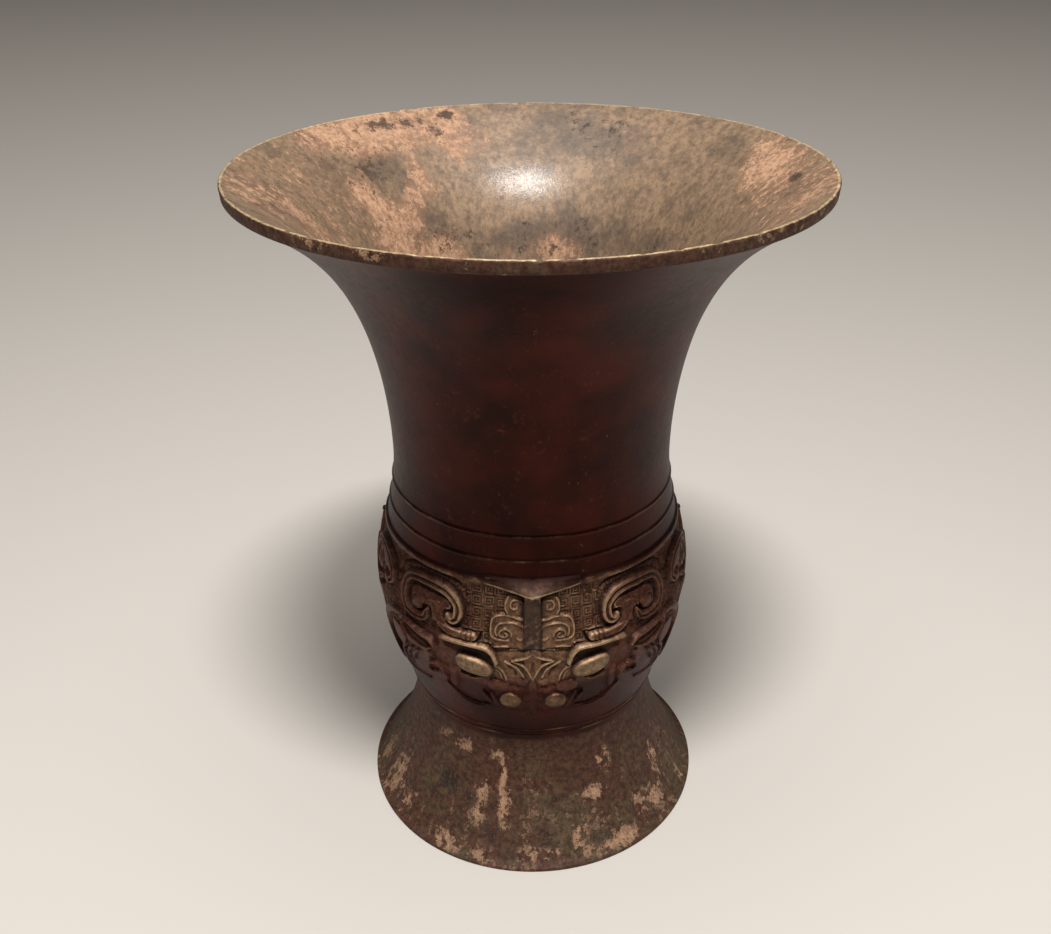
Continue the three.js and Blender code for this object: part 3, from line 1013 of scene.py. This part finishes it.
@dataclass(frozen=True)
class CastingSkin:
    """The rule that turns the flat sheet of the wall round its axis, and leaves it as uneven as a casting.

    The sheet's points hold a turn in radians, a radius and a height. The unevenness fades out on the hem and
    the lip, so that both stay true, and the chips bite only the rim's top edge.
    """

    rim_z: float
    swell: float = 0.28 * MM
    swell_size: float = 34 * MM
    grain: float = 0.05 * MM
    grain_size: float = 2.6 * MM
    chip: float = 0.5 * MM
    chip_size: float = 3.6 * MM
    edge: float = 1.2 * MM
    seam: float = 0.004 * MM
    over_hem: Point = (2 * MM, 8 * MM)
    under_rim: float = 16 * MM
    seed: int = 7

    def inputs(self, bronze: bpy.types.Material) -> dict[str, float | int | bpy.types.Material]:
        """Gives the tree's named inputs with their values."""
        return {
            "Swell": self.swell,
            "Swell size": self.swell_size,
            "Grain": self.grain,
            "Grain size": self.grain_size,
            "Chip": self.chip,
            "Chip size": self.chip_size,
            "Chip height": self.rim_z - self.edge,
            "Seed": self.seed,
            "Bronze": bronze,
        }

    def tree(self, bronze: bpy.types.Material) -> bpy.types.NodeTree:
        """Builds the node tree with its named inputs.

        Args:
            bronze: The material that it sets.

        Returns:
            The tree.
        """
        tree = bpy.data.node_groups.new("turn_and_cast", "GeometryNodeTree")
        kinds = {float: "NodeSocketFloat", int: "NodeSocketInt", bpy.types.Material: "NodeSocketMaterial"}
        tree.interface.new_socket("Geometry", in_out="INPUT", socket_type="NodeSocketGeometry")
        for name, value in self.inputs(bronze).items():
            tree.interface.new_socket(name, in_out="INPUT", socket_type=kinds[type(value)])
        tree.interface.new_socket("Geometry", in_out="OUTPUT", socket_type="NodeSocketGeometry")
        given = add_node(tree, "NodeGroupInput").node.outputs

        place = add_node(tree, "GeometryNodeInputPosition")
        turn, radius, height = add_node(tree, "ShaderNodeSeparateXYZ", {0: place}).node.outputs
        ahead = add_node(tree, "ShaderNodeMath", {0: radius, 1: -1.0}, operation="MULTIPLY")
        spoke = add_node(tree, "ShaderNodeCombineXYZ", {"Y": ahead, "Z": height})
        swung = {"Vector": spoke, "Angle": turn}
        turned = add_node(tree, "ShaderNodeVectorRotate", swung, rotation_type="Z_AXIS")
        moved = {"Geometry": given["Geometry"], "Position": turned}
        wrapped = add_node(tree, "GeometryNodeSetPosition", moved)
        seam = {"Geometry": wrapped, "Distance": self.seam}
        closed = add_node(tree, "GeometryNodeMergeByDistance", seam)

        wave = {}
        for name, phase in (("Swell", 0.0), ("Grain", 11.0), ("Chip", 23.0)):
            seed = add_node(tree, "ShaderNodeMath", {0: given["Seed"], 1: phase}, operation="ADD")
            scale = add_node(tree, "ShaderNodeMath", {0: 1.0, 1: given[f"{name} size"]}, operation="DIVIDE")
            noise = {"Vector": place, "W": seed, "Scale": scale}
            shade = add_node(tree, "ShaderNodeTexNoise", noise, noise_dimensions="4D")
            wave[name] = add_node(tree, "ShaderNodeMath", {0: shade, 1: -0.5}, operation="ADD")

        swell = add_node(tree, "ShaderNodeMath", {0: wave["Swell"], 1: given["Swell"]}, operation="MULTIPLY")
        both = {0: wave["Grain"], 1: given["Grain"], 2: swell}
        uneven = add_node(tree, "ShaderNodeMath", both, operation="MULTIPLY_ADD")
        low, full = self.over_hem
        over_hem = {"Value": height, "From Min": low, "From Max": full, "To Max": uneven}
        free = add_node(tree, "ShaderNodeMapRange", over_hem)
        calm = self.rim_z - self.under_rim
        under_rim = {"Value": height, "From Min": given["Chip height"], "From Max": calm, "To Max": free}
        push = add_node(tree, "ShaderNodeMapRange", under_rim)
        normal = add_node(tree, "GeometryNodeInputNormal")
        outwards = add_node(tree, "ShaderNodeVectorMath", {0: normal, "Scale": push}, operation="SCALE")
        cast = add_node(tree, "GeometryNodeSetPosition", {"Geometry": closed, "Offset": outwards})

        on_edge = {"Value": height, "From Min": given["Chip height"], "From Max": self.rim_z}
        depth = add_node(tree, "ShaderNodeMapRange", on_edge | {"To Max": given["Chip"]})
        worn = {"Value": wave["Chip"], "From Min": -0.02, "From Max": 0.2, "To Max": depth}
        bite = add_node(tree, "ShaderNodeMapRange", worn, interpolation_type="SMOOTHSTEP")
        drop = add_node(tree, "ShaderNodeVectorMath", {0: (0, 0, -1), "Scale": bite}, operation="SCALE")
        chipped = add_node(tree, "GeometryNodeSetPosition", {"Geometry": cast, "Offset": drop})
        soft = add_node(tree, "GeometryNodeSetShadeSmooth", {"Geometry": chipped})
        real = add_node(tree, "GeometryNodeRealizeInstances", {"Geometry": soft})
        dressed = add_node(tree, "GeometryNodeSetMaterial", {"Geometry": real, "Material": given["Bronze"]})
        add_node(tree, "NodeGroupOutput", {0: dressed})
        return tree

    def apply(self, obj: bpy.types.Object, bronze: bpy.types.Material) -> None:
        """Gives an object the rule as a modifier, with every named input set."""
        modifier = obj.modifiers.new("turn_and_cast", "NODES")
        modifier.node_group = self.tree(bronze)
        wanted = self.inputs(bronze)
        for socket in modifier.node_group.interface.items_tree:
            if socket.in_out == "INPUT" and socket.name in wanted:
                modifier[socket.identifier] = wanted[socket.name]


# Stains as degrees from the front, height, half width and half height in millimetres, and strength. Those
# that the photo shows were read off it and placed with the worked-out camera, their sizes and strengths
# set one by one. The others, at the back and on the inner face's near side, are guesses.
EARTH_INSIDE: tuple[Spot, ...] = (
    (-128, 268, 16, 5, 1.7), (-138, 266, 16, 6, 1.9), (-149, 265, 14, 6, 1.8), (-159, 265, 8, 6, 1.6),
    (-162, 259, 8, 6, 1.5), (-144.5, 248.5, 4.5, 6, 1.7), (-140, 243, 3.5, 6, 1.6), (-134.5, 236, 5, 6, 1.7),
    (-122.5, 247, 6, 6, 1.6), (-124.5, 241, 7, 5, 1.6), (-128.5, 236.5, 8, 5, 1.6),
    (-121.5, 231.5, 7, 5, 1.5),
    (-127, 227, 9, 5, 1.7), (-139, 223, 10, 4.5, 1.7), (-147, 219.5, 7, 3.5, 1.6), (170, 219.5, 8.5, 5, 1.7),
    (-170, 219, 2.5, 3, 1.4), (-90, 259, 34, 20, 1.05), (-96, 245, 20, 14, 1.0), (-110.6, 260, 12, 8, 1.0),
    (105.8, 262, 10, 6, 1.6), (97.4, 261, 7, 9, 1.5), (112, 266, 7, 4, 1.5), (80, 261, 26, 12, 1.1),
    (70, 258, 18, 10, 1.1), (20, 250, 30, 14, 1.3), (-30, 230, 16, 24, 1.2), (45, 215, 14, 10, 1.6),
)
SOOT_INSIDE: tuple[Spot, ...] = (
    (-139.8, 266.6, 2.6, 1.3, 2.0), (-143, 266.6, 2.2, 1.3, 2.0), (-148.3, 266, 2.6, 1.7, 2.0),
    (-152.2, 266.2, 2, 1.5, 1.9), (-154.8, 263.3, 2.2, 1.4, 1.8), (-159.4, 267, 2.4, 1.3, 1.9),
    (162, 262, 18, 7, 0.9), (174, 266, 16, 4, 0.85), (163, 225.4, 16, 8, 0.95), (-176, 223, 20, 8, 1.0),
    (141, 227, 18, 7, 0.9), (92.5, 263.5, 3, 1.1, 2.0), (0, 262, 8, 4, 1.3), (-132, 254, 16, 7, 0.95),
    (-118, 258, 12, 7, 0.85), (-150, 228, 14, 7, 0.9), (120, 262, 16, 4, 0.8), (-168, 240, 10, 9, 0.7),
)
EARTH_OUTSIDE: tuple[Spot, ...] = (
    (-12.9, 31, 1.8, 5, 2.0), (-12.3, 24, 2, 5, 1.8), (-11.5, 17, 1.8, 5, 1.25), (-14.7, 42.2, 3, 2.6, 1.5),
    (-44, 43, 5, 4, 1.2), (-33, 42.5, 5, 3.5, 1.4), (-85, 8, 5, 6, 1.3), (-67, 10, 7, 9, 1.3),
    (-57, 8, 6, 6, 1.3),
    (35.4, 37, 2.8, 4, 1.6), (31.5, 36, 3, 2.4, 1.5), (33.3, 29.5, 2.1, 6, 1.6), (27, 24.3, 7, 2.4, 1.7),
    (62.3, 24, 2.4, 6, 1.6), (61.3, 17.5, 2.2, 4, 1.4), (53.3, 9.5, 6, 4, 1.4), (45.8, 12, 5, 4, 1.25),
    (35.3, 4.6, 6, 2.2, 1.65), (27.8, 4, 7, 1.8, 1.5), (17.3, 10, 3.5, 5, 1.4), (20, 4.7, 5, 2, 1.35),
    (2, 5.6, 9, 2, 1.3), (-35.2, 4.6, 6, 2.4, 1.55), (-29.9, 4, 5, 2, 1.35), (-20.7, 3.5, 4, 1.6, 1.35),
    (-23, 26, 4, 5, 1.2), (-22.2, 16.5, 3, 4, 1.3), (72.6, 4, 3, 4, 1.3), (12.5, 51, 7, 1.6, 1.0),
    (120, 30, 5, 13, 1.5), (-150, 18, 12, 6, 1.4), (172, 28, 3, 12, 1.6), (-110, 36, 6, 9, 1.3),
    (62, 267.4, 50, 2.2, 1.0), (-30, 268, 26, 1.6, 0.9), (150, 267.4, 40, 2.2, 1.0),
)
SOOT_OUTSIDE: tuple[Spot, ...] = (
    (-38, 25, 6, 4, 1.7), (-43.5, 17.5, 4, 3.5, 1.5), (-16.4, 11.4, 4, 4, 1.3), (4.2, 11, 5, 4, 1.35),
    (24, 6, 4, 3, 1.3), (38, 38, 2, 5, 1.6), (-8, 44, 6, 3, 1.2), (22, 31, 6, 5, 1.1), (-48, 30, 5, 8, 1.25),
    (10, 24, 5, 4, 1.15), (48, 22, 5, 6, 1.15), (-26, 38, 6, 3, 1.2), (-10, 6, 5, 3, 1.15),
    (52, 33, 4, 7, 1.1), (-57, 14, 3, 4, 1.4), (140, 20, 7, 6, 1.5), (-28, 22, 4, 4, 1.3),
    (10, 49, 14, 5, 1.15), (-52, 47, 10, 6, 1.0), (60, 44, 9, 6, 1.0),
)


@dataclass(frozen=True)
class Places:
    """Where the casting's points lie in millimetres and degrees, and 1 on the inner face, 0 on the outer."""

    radius: np.ndarray
    degrees: np.ndarray
    z: np.ndarray
    inner: np.ndarray

    @property
    def outside(self) -> np.ndarray:
        """Tells which points are on the outer face."""
        return self.inner < 0.5

    @property
    def off_middle(self) -> np.ndarray:
        """Gives the degrees from the middle of the nearer mask."""
        return abs((self.degrees + 90) % 180 - 90)

    @property
    def on_rib(self) -> np.ndarray:
        """Gives the share of a mask's front rib, 0 to 1."""
        beside = smooth(3.0, 3.6, self.off_middle)
        return (1 - beside) * smooth(105, 107, self.z) * (1 - smooth(128.6, 129.4, self.z))


def mesh_of(name: str, points: np.ndarray, quads: np.ndarray, triangles: np.ndarray) -> bpy.types.Mesh:
    """Makes a mesh from arrays.

    Args:
        name: The mesh's name.
        points: One row for each point.
        quads: Four point numbers for each four-sided face.
        triangles: Three for each three-sided face.

    Returns:
        The mesh.
    """
    mesh = bpy.data.meshes.new(name)
    mesh.vertices.add(len(points))
    mesh.vertices.foreach_set("co", points.ravel())
    loops = np.concatenate([quads.ravel(), triangles.ravel()]).astype(np.int32)
    starts = [np.arange(len(quads)) * 4, len(quads) * 4 + np.arange(len(triangles)) * 3]
    starts = np.concatenate(starts).astype(np.int32)
    mesh.loops.add(len(loops))
    mesh.loops.foreach_set("vertex_index", loops)
    mesh.polygons.add(len(starts))
    mesh.polygons.foreach_set("loop_start", starts)
    mesh.update(calc_edges=True)
    mesh.validate()
    return mesh


@dataclass
class Vessel:
    """The whole casting, built as a flat sheet of rows from under the floor, over the rim and down inside."""

    outline: Outline = field(default_factory=Outline)
    mask: BeastMask = field(default_factory=BeastMask)
    columns: int = 128
    patch_columns: int = 256
    rim_columns: int = 512
    mask_columns: int = 1408
    mask_step: float = 0.27
    most_triangles: int = 196000
    seed: int = 11
    # each as a size and the table cells between its random values
    bends: tuple[tuple[float, int], ...] = ((0.22, 26), (0.1, 9))
    depth_change: tuple[float, int] = (0.08, 40)
    stain_falloff: float = 0.35
    inner_pattern_shift: float = 700.0
    lower_rings: tuple[Ring, ...] = (Ring(54.7, 1.7, 0.6), Ring(58.7, 1.7, 0.55))
    upper_rings: tuple[Ring, ...] = (Ring(141.5, 1.7, 0.5), Ring(150.8, 1.7, 0.45))
    stains: tuple[Stain, ...] = tuple(
        Stain(kind, inner, *spot)
        for kind, inner, spots in (
            (Deposit.EARTH, True, EARTH_INSIDE),
            (Deposit.SOOT, True, SOOT_INSIDE),
            (Deposit.EARTH, False, EARTH_OUTSIDE),
            (Deposit.SOOT, False, SOOT_OUTSIDE),
        )
        for spot in spots
    )

    @cached_property
    def turned_mask(self) -> tuple[np.ndarray, np.ndarray]:
        """Lays the half mask round the whole belly, each of the four halves bent a little by a random field.

        Returns:
            The rises and the bareness, by row up and column round.
        """
        half, bare = self.mask.tables()
        rng = np.random.default_rng(self.seed)
        count = int((self.mask.high - self.mask.low) / self.mask_step) + 1
        z = np.linspace(self.mask.low, self.mask.high, count)
        shape = (count, self.mask_columns)
        bend_round, bend_up = (
            sum(size * wobble(rng, *shape, cell) for size, cell in self.bends) for _ in range(2)
        )
        degrees = np.arange(self.mask_columns) * 360 / self.mask_columns
        from_middle = abs((degrees + 90) % 180 - 90)
        along = from_middle[None, :] * self.mask.degree + bend_round
        place = (z[:, None] + bend_up - self.mask.low) / self.mask.cell, abs(along) / self.mask.cell
        rise, bare = sample(half, *place), sample(bare, *place)
        size, cell = self.depth_change
        depth = 1 + size * wobble(rng, *shape, cell)
        ends = smooth(self.mask.low, self.mask.low + 1.5, z)
        ends = ends * (1 - smooth(self.mask.high - 0.6, self.mask.high, z))
        return rise * depth * ends[:, None], bare

    def rows(self) -> list[tuple[np.ndarray, float]]:
        """Gives every row of the sheet as its radii, one for each column, and its height."""
        o = self.outline
        low = [
            *o.dish(o.floor_underside_z, o.inner([o.hollow_corner_z])[0], 10),
            *o.inner(np.linspace(o.hollow_corner_z - 3, o.hem_height + 2.5, 14)),
            (o.hem_radius - o.wall + 0.15, 0.35),
            (o.hem_radius - o.wall + 0.5, 0),
            (o.hem_radius - 0.45, 0),
            (o.hem_radius - 0.1, 0.15),
            (o.hem_radius, 0.5),
            (o.hem_radius, o.hem_height - 0.4),
            (o.hem_radius - 0.3, o.hem_height),
        ]
        foot = o.points(np.linspace(o.hem_height + 0.5, 52.6, 32))
        waist = [
            *self.lower_rings[0].points(o),
            *self.lower_rings[1].points(o),
            *o.points(np.linspace(61.5, 67.2, 4)),
        ]
        high = [
            *o.points(np.linspace(136.4, 140.2, 3)),
            *self.upper_rings[0].points(o),
            *o.points((144.4, 147.6)),
            *self.upper_rings[1].points(o),
            *o.points(np.linspace(154, o.edge_z - 0.5, 32)),
        ]
        rim = [
            (o.flare_radius, o.edge_z),
            (o.flare_radius + 0.45, o.edge_z + 0.1),
            (o.rim_radius - 0.25, o.edge_z + 0.4),
            (o.rim_radius - 0.15, o.height - 2.5),
            (o.rim_radius, o.height - 0.9),
            (o.rim_radius - 0.1, o.height - 0.35),
            (o.rim_radius - 0.4, o.height - 0.05),
            (o.rim_radius - 0.75, o.height),
            (o.rim_radius - 1.1, o.height - 0.1),
            (o.rim_radius - 1.6, o.height - 0.45),
            *o.inner([o.edge_z]),
        ]
        mouth = o.inner(o.edge_z - 0.8 - 60 * np.linspace(0, 1, 40) ** 1.35)
        down = [
            *o.inner(np.linspace(202, o.floor_corner_z + 1.5, 22)),
            *o.dish(o.floor_top_z, o.inner([o.floor_corner_z])[0], 12)[::-1],
        ]
        plain, patch, fine = (np.ones(n) for n in (self.columns, self.patch_columns, self.rim_columns))
        rise = self.turned_mask[0]
        heights = np.linspace(self.mask.low, self.mask.high, len(rise))
        return [
            *[(r * plain, z) for r, z in low],
            *[(r * patch, z) for r, z in foot],
            *[(r * plain, z) for r, z in waist],
            *[(o.outer(z) + row, z) for z, row in zip(heights, rise)],
            *[(r * plain, z) for r, z in high],
            *[(r * fine, z) for r, z in rim],
            *[(r * patch, z) for r, z in mouth],
            *[(r * plain, z) for r, z in down],
        ]

    def sheet(self) -> tuple[bpy.types.Mesh, np.ndarray]:
        """Builds the flat sheet as a mesh.

        Returns:
            The mesh, and for each point whether it lies inside the mask's band.
        """
        points, starts, in_band = [], [], []
        for radii, z in self.rows():
            starts.append(sum(len(p) for p in points))
            turn = np.linspace(0, 2 * math.pi, len(radii) + 1)
            closed = np.append(radii, radii[0])
            points.append(np.column_stack([turn, closed * MM, np.full(len(turn), z * MM)]))
            dense = len(radii) == self.mask_columns
            in_band.append(np.full(len(turn), dense and self.mask.low + 0.1 < z < self.mask.high - 0.1))
        quads, triangles = [], []
        counts = [len(p) - 1 for p in points]
        for a, b, m, n in zip(starts, starts[1:], counts, counts[1:]):
            if m == n:
                i = np.arange(m)
                quads.append(np.column_stack([a + i, a + i + 1, b + i + 1, b + i]))
                continue
            few, many, coarse, fine = (m, n, a, b) if m < n else (n, m, b, a)
            per = many // few
            j = np.arange(many)
            nearest = (j + per // 2 + 1) // per
            spokes = np.column_stack([coarse + nearest, fine + j + 1, fine + j])
            split = np.arange(few) * per + (per - per // 2 - 1)
            gaps = np.column_stack([coarse + np.arange(few), coarse + np.arange(few) + 1, fine + split])
            both = np.vstack([spokes, gaps])
            triangles.append(both if m < n else both[:, ::-1])
        mesh = mesh_of("vessel_sheet", np.vstack(points), np.vstack(quads), np.vstack(triangles))
        return mesh, np.hstack(in_band)

    def build(self, bronze: bpy.types.Material) -> bpy.types.Object:
        """Builds the casting, thins its mask to the triangle limit and writes the attributes of its finish.

        Args:
            bronze: The material of the whole casting.

        Returns:
            The casting, bound to the solid that it replaces.
        """
        flat, in_band = self.sheet()
        sheet = bpy.data.objects.new("vessel_sheet", flat)
        bpy.context.scene.collection.objects.link(sheet)
        group = sheet.vertex_groups.new(name="mask")
        group.add(np.flatnonzero(in_band).tolist(), 1.0, "REPLACE")
        CastingSkin(self.outline.height * MM).apply(sheet, bronze)
        total = sum(len(p.vertices) - 2 for p in flat.polygons)
        thin = sheet.modifiers.new("thin", "DECIMATE")
        thin.ratio = self.most_triangles / total
        thin.vertex_group = group.name
        thin.use_collapse_triangulate = True
        done = bpy.data.meshes.new_from_object(sheet.evaluated_get(bpy.context.evaluated_depsgraph_get()))
        bpy.data.objects.remove(sheet)
        done.name = "zun_casting"
        casting = bpy.data.objects.new("zun_casting", done)
        bpy.context.scene.collection.objects.link(casting)
        self.write_attributes(done)
        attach(casting, "root")
        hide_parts("zun_vessel")
        log.info("casting: %d triangles", sum(len(p.vertices) - 2 for p in done.polygons))
        return casting

    def places(self, mesh: bpy.types.Mesh) -> Places:
        """Finds where a mesh's points lie on the wall.

        Args:
            mesh: The casting.

        Returns:
            The places.
        """
        flat = np.empty(len(mesh.vertices) * 3)
        mesh.vertices.foreach_get("co", flat)
        x, y, z = (flat.reshape(-1, 3) / MM).T
        radius, degrees = np.hypot(x, y), np.degrees(np.arctan2(x, -y)) % 360
        o = self.outline
        inner = smooth(-1.3, -1.9, radius - o.outer(np.minimum(z, o.edge_z)))
        lip = smooth(o.rim_radius - 0.15, o.rim_radius - 0.6, radius)
        inner = np.where(z > o.height - 0.8, lip, inner)
        return Places(radius, degrees, z, inner * smooth(55, 60.5, z))

    def relief(self, at: Places) -> tuple[np.ndarray, np.ndarray, np.ndarray, np.ndarray]:
        """Reads the mask's tables at each point, as nothing off the belly.

        Args:
            at: The points' places.

        Returns:
            Which points are on the belly, how far each stands over what is close round it and what is further
            round it, in millimetres, and how bare it is.
        """
        rise, bare = self.turned_mask
        row = (at.z - self.mask.low) / (self.mask.high - self.mask.low) * (len(rise) - 1)
        column = at.degrees / 360 * self.mask_columns
        wrap = np.concatenate([rise[:, -40:], rise, rise[:, :42]], axis=1)
        sharp = (wrap - blurred(wrap, 2))[:, 40:]
        broad = (wrap - blurred(wrap, 8))[:, 40:]
        closed = np.concatenate([bare, bare[:, :2]], axis=1)
        on_belly = (row > 0) & (row < len(rise) - 1) & at.outside
        edge, body, bare = (np.where(on_belly, sample(t, row, column), 0) for t in (sharp, broad, closed))
        return on_belly, edge, body, bare

    def worn(self, at: Places, on_belly: np.ndarray, edge: np.ndarray, body: np.ndarray) -> np.ndarray:
        """Works out where the patina is worn and where highlight is painted: on the mask's edges, the
        shoulder's apex and the rings' crests.

        Args:
            at: The points' places.
            on_belly: Which of them are on the belly.
            edge: How far each stands over what is close round it.
            body: How far each stands over what is further round it.

        Returns:
            The wear and painted highlight of each, 0 to 1.
        """
        # painted highlight: a pale spot on the apex of the shoulder over the front rib, where the lamp
        # catches it
        apex_highlight = np.exp(-((at.off_middle / 7) ** 2) - ((at.z - 130.2) / 0.6) ** 2)
        # pale on the mask's edges: partly wear, partly painted highlight on the lit edges
        worn = smooth(0.07, 0.33, edge) * (0.5 + 0.5 * smooth(0.1, 0.8, body))
        # painted shade: the edges are paler high on the belly than low down, where the belly curves under
        worn = worn * (0.3 + 0.7 * smooth(84, 99, at.z))
        # painted shade: fainter on the front rib and towards the sides of each mask, away from the front
        # light
        worn = worn * (1 - 0.85 * at.on_rib) * (1 - 0.65 * smooth(18, 46, at.off_middle))
        worn = np.where(on_belly, np.maximum(worn, 0.6 * apex_highlight), 0)
        # painted highlight: broken pale glints on the rings' crests
        for ring in (*self.lower_rings, *self.upper_rings):
            crest = np.exp(-(((at.z - ring.z - 0.2) / (ring.width * 0.28)) ** 2)) * at.outside
            glint_breaks = 0.42 + 0.26 * np.sin(at.degrees / 4.3 + ring.z) * np.sin(at.degrees / 11 - ring.z)
            worn = np.maximum(worn, glint_breaks * crest)
        return worn

    def painted_shade(self, at: Places, edge: np.ndarray, body: np.ndarray) -> np.ndarray:
        """Works out where shade is painted: near black in the mask's hollows, weaker low on the belly, and as
        the rim's shadow on the shoulder over the front rib.

        Args:
            at: The points' places.
            edge: How far each stands over what is close round it.
            body: How far each stands over what is further round it.

        Returns:
            The darkness of each, 0 to 1.
        """
        # painted shade in the mask's hollows
        hollow = np.maximum(smooth(-0.1, -1.0, body), 0.65 * smooth(-0.05, -0.28, edge))
        # painted shadow of the rim on the shoulder's top over the front rib
        shoulder = smooth(130.2, 131.2, at.z) * (1 - smooth(134.5, 137, at.z))
        shoulder = shoulder * (1 - smooth(17, 24, at.off_middle))
        return np.maximum(hollow * (0.4 + 0.6 * smooth(84, 99, at.z)), 0.62 * shoulder * at.outside)

    def laid(self, at: Places, scale: np.ndarray, on_belly: np.ndarray) -> dict[Deposit, np.ndarray]:
        """Lays the stains over an even layer of each deposit, with painted shade laid as soot on the mask's
        front rib.

        Args:
            at: The points' places.
            scale: How much scale is on each.
            on_belly: Which of them are on the belly.

        Returns:
            How much of each deposit lies on each point.
        """
        laid = {
            Deposit.EARTH: 0.7 * scale + 0.35 * at.inner,
            # painted shade: on the belly, near-black soot on the front rib, where the vertical rib lies in
            # shade
            Deposit.SOOT: np.where(on_belly, 1.7 * at.on_rib, 0.6 * scale + 0.4 * at.inner),
        }
        outside = at.outside
        for stain in self.stains:
            apart = (at.degrees - stain.angle + 180) % 360 - 180
            across = np.radians(apart) * at.radius / stain.width
            upright = (at.z - stain.z) / stain.height
            spot = stain.strength * np.exp(-self.stain_falloff * (across**2 + upright**2))
            spot = spot * (outside != stain.inner)
            laid[stain.kind] = np.maximum(laid[stain.kind], spot)
        return laid

    def flow(self, at: Places) -> np.ndarray:
        """Unrolls the wall, so that patterns can be drawn out along it from foot to rim.

        Args:
            at: The points' places.

        Returns:
            For each point its turn as a place on a circle and its run up the outline, in metres.
        """
        o = self.outline
        heights = np.linspace(0, o.height, 541)
        length = np.append(0, np.cumsum(np.hypot(np.diff(heights), np.diff(o.outer(heights)))))
        # the inner face reads another part of the pattern, so that it doesn't repeat the outer face's
        run = np.interp(at.z, heights, length) + self.inner_pattern_shift * (at.inner > 0.5)
        turn = np.radians(at.degrees)
        return np.column_stack([o.belly_radius * np.sin(turn), -o.belly_radius * np.cos(turn), run]) * MM

    def write_attributes(self, mesh: bpy.types.Mesh) -> None:
        """Writes what the patina reads at each point: wear and painted light, painted shade, face, deposits
        and the unrolled place.
        """
        at = self.places(mesh)
        on_belly, edge, body, bare = self.relief(at)
        o, z, outside = self.outline, at.z, at.outside
        on_lip = smooth(o.edge_z - 0.4, o.edge_z, z) * outside
        on_foot = (1 - smooth(48, 56, z)) * (0.66 + 0.34 * (1 - smooth(14, 44, z))) * outside
        scale = np.maximum(on_foot, 0.7 * on_lip)
        laid = self.laid(at, scale, on_belly)
        # painted light: the belly is painted paler than the neck below the rim's shadow line at 132 to 136
        # mm, fading to the dark skin low on the belly, where it is in shade
        belly = smooth(78, 96, z) * (1 - smooth(132, 136, z)) * outside
        values = {
            "worn": self.worn(at, on_belly, edge, body),
            "painted_shade": self.painted_shade(at, edge, body),
            "inner": at.inner,
            # the rim's pale top edge: partly wear, partly painted highlight
            "rim": smooth(o.height - 0.7, o.height - 0.2, z),
            # painted shade: a little less bare low down, on the nostrils
            "bare": bare * (0.85 + 0.15 * smooth(86, 90, z)),
            "earth": laid[Deposit.EARTH],
            "soot": laid[Deposit.SOOT],
            # painted light: palest at the middle of each mask, as if lit from the front
            "belly": belly * (0.66 + 0.34 * np.exp(-((at.off_middle / 27) ** 2))),
            "scale": scale,
        }
        for name, data in values.items():
            layer = mesh.attributes.new(name, "FLOAT", "POINT")
            layer.data.foreach_set("value", np.clip(data, 0, 2).astype(np.float32))
        layer = mesh.attributes.new("flow", "FLOAT_VECTOR", "POINT")
        layer.data.foreach_set("vector", self.flow(at).astype(np.float32).ravel())


def main() -> None:
    """Builds the studio and the vessel in order, and reports each."""
    logging.basicConfig(level=logging.INFO, format="%(message)s")
    studio = Studio()
    studio.camera()
    studio.floor()
    studio.lights()
    log.info("studio: camera, floor and lights")
    bronze = PatinatedBronze().material()
    log.info("finish: %s", bronze.name)
    Vessel().build(bronze)


if __name__ == "__main__":
    main()
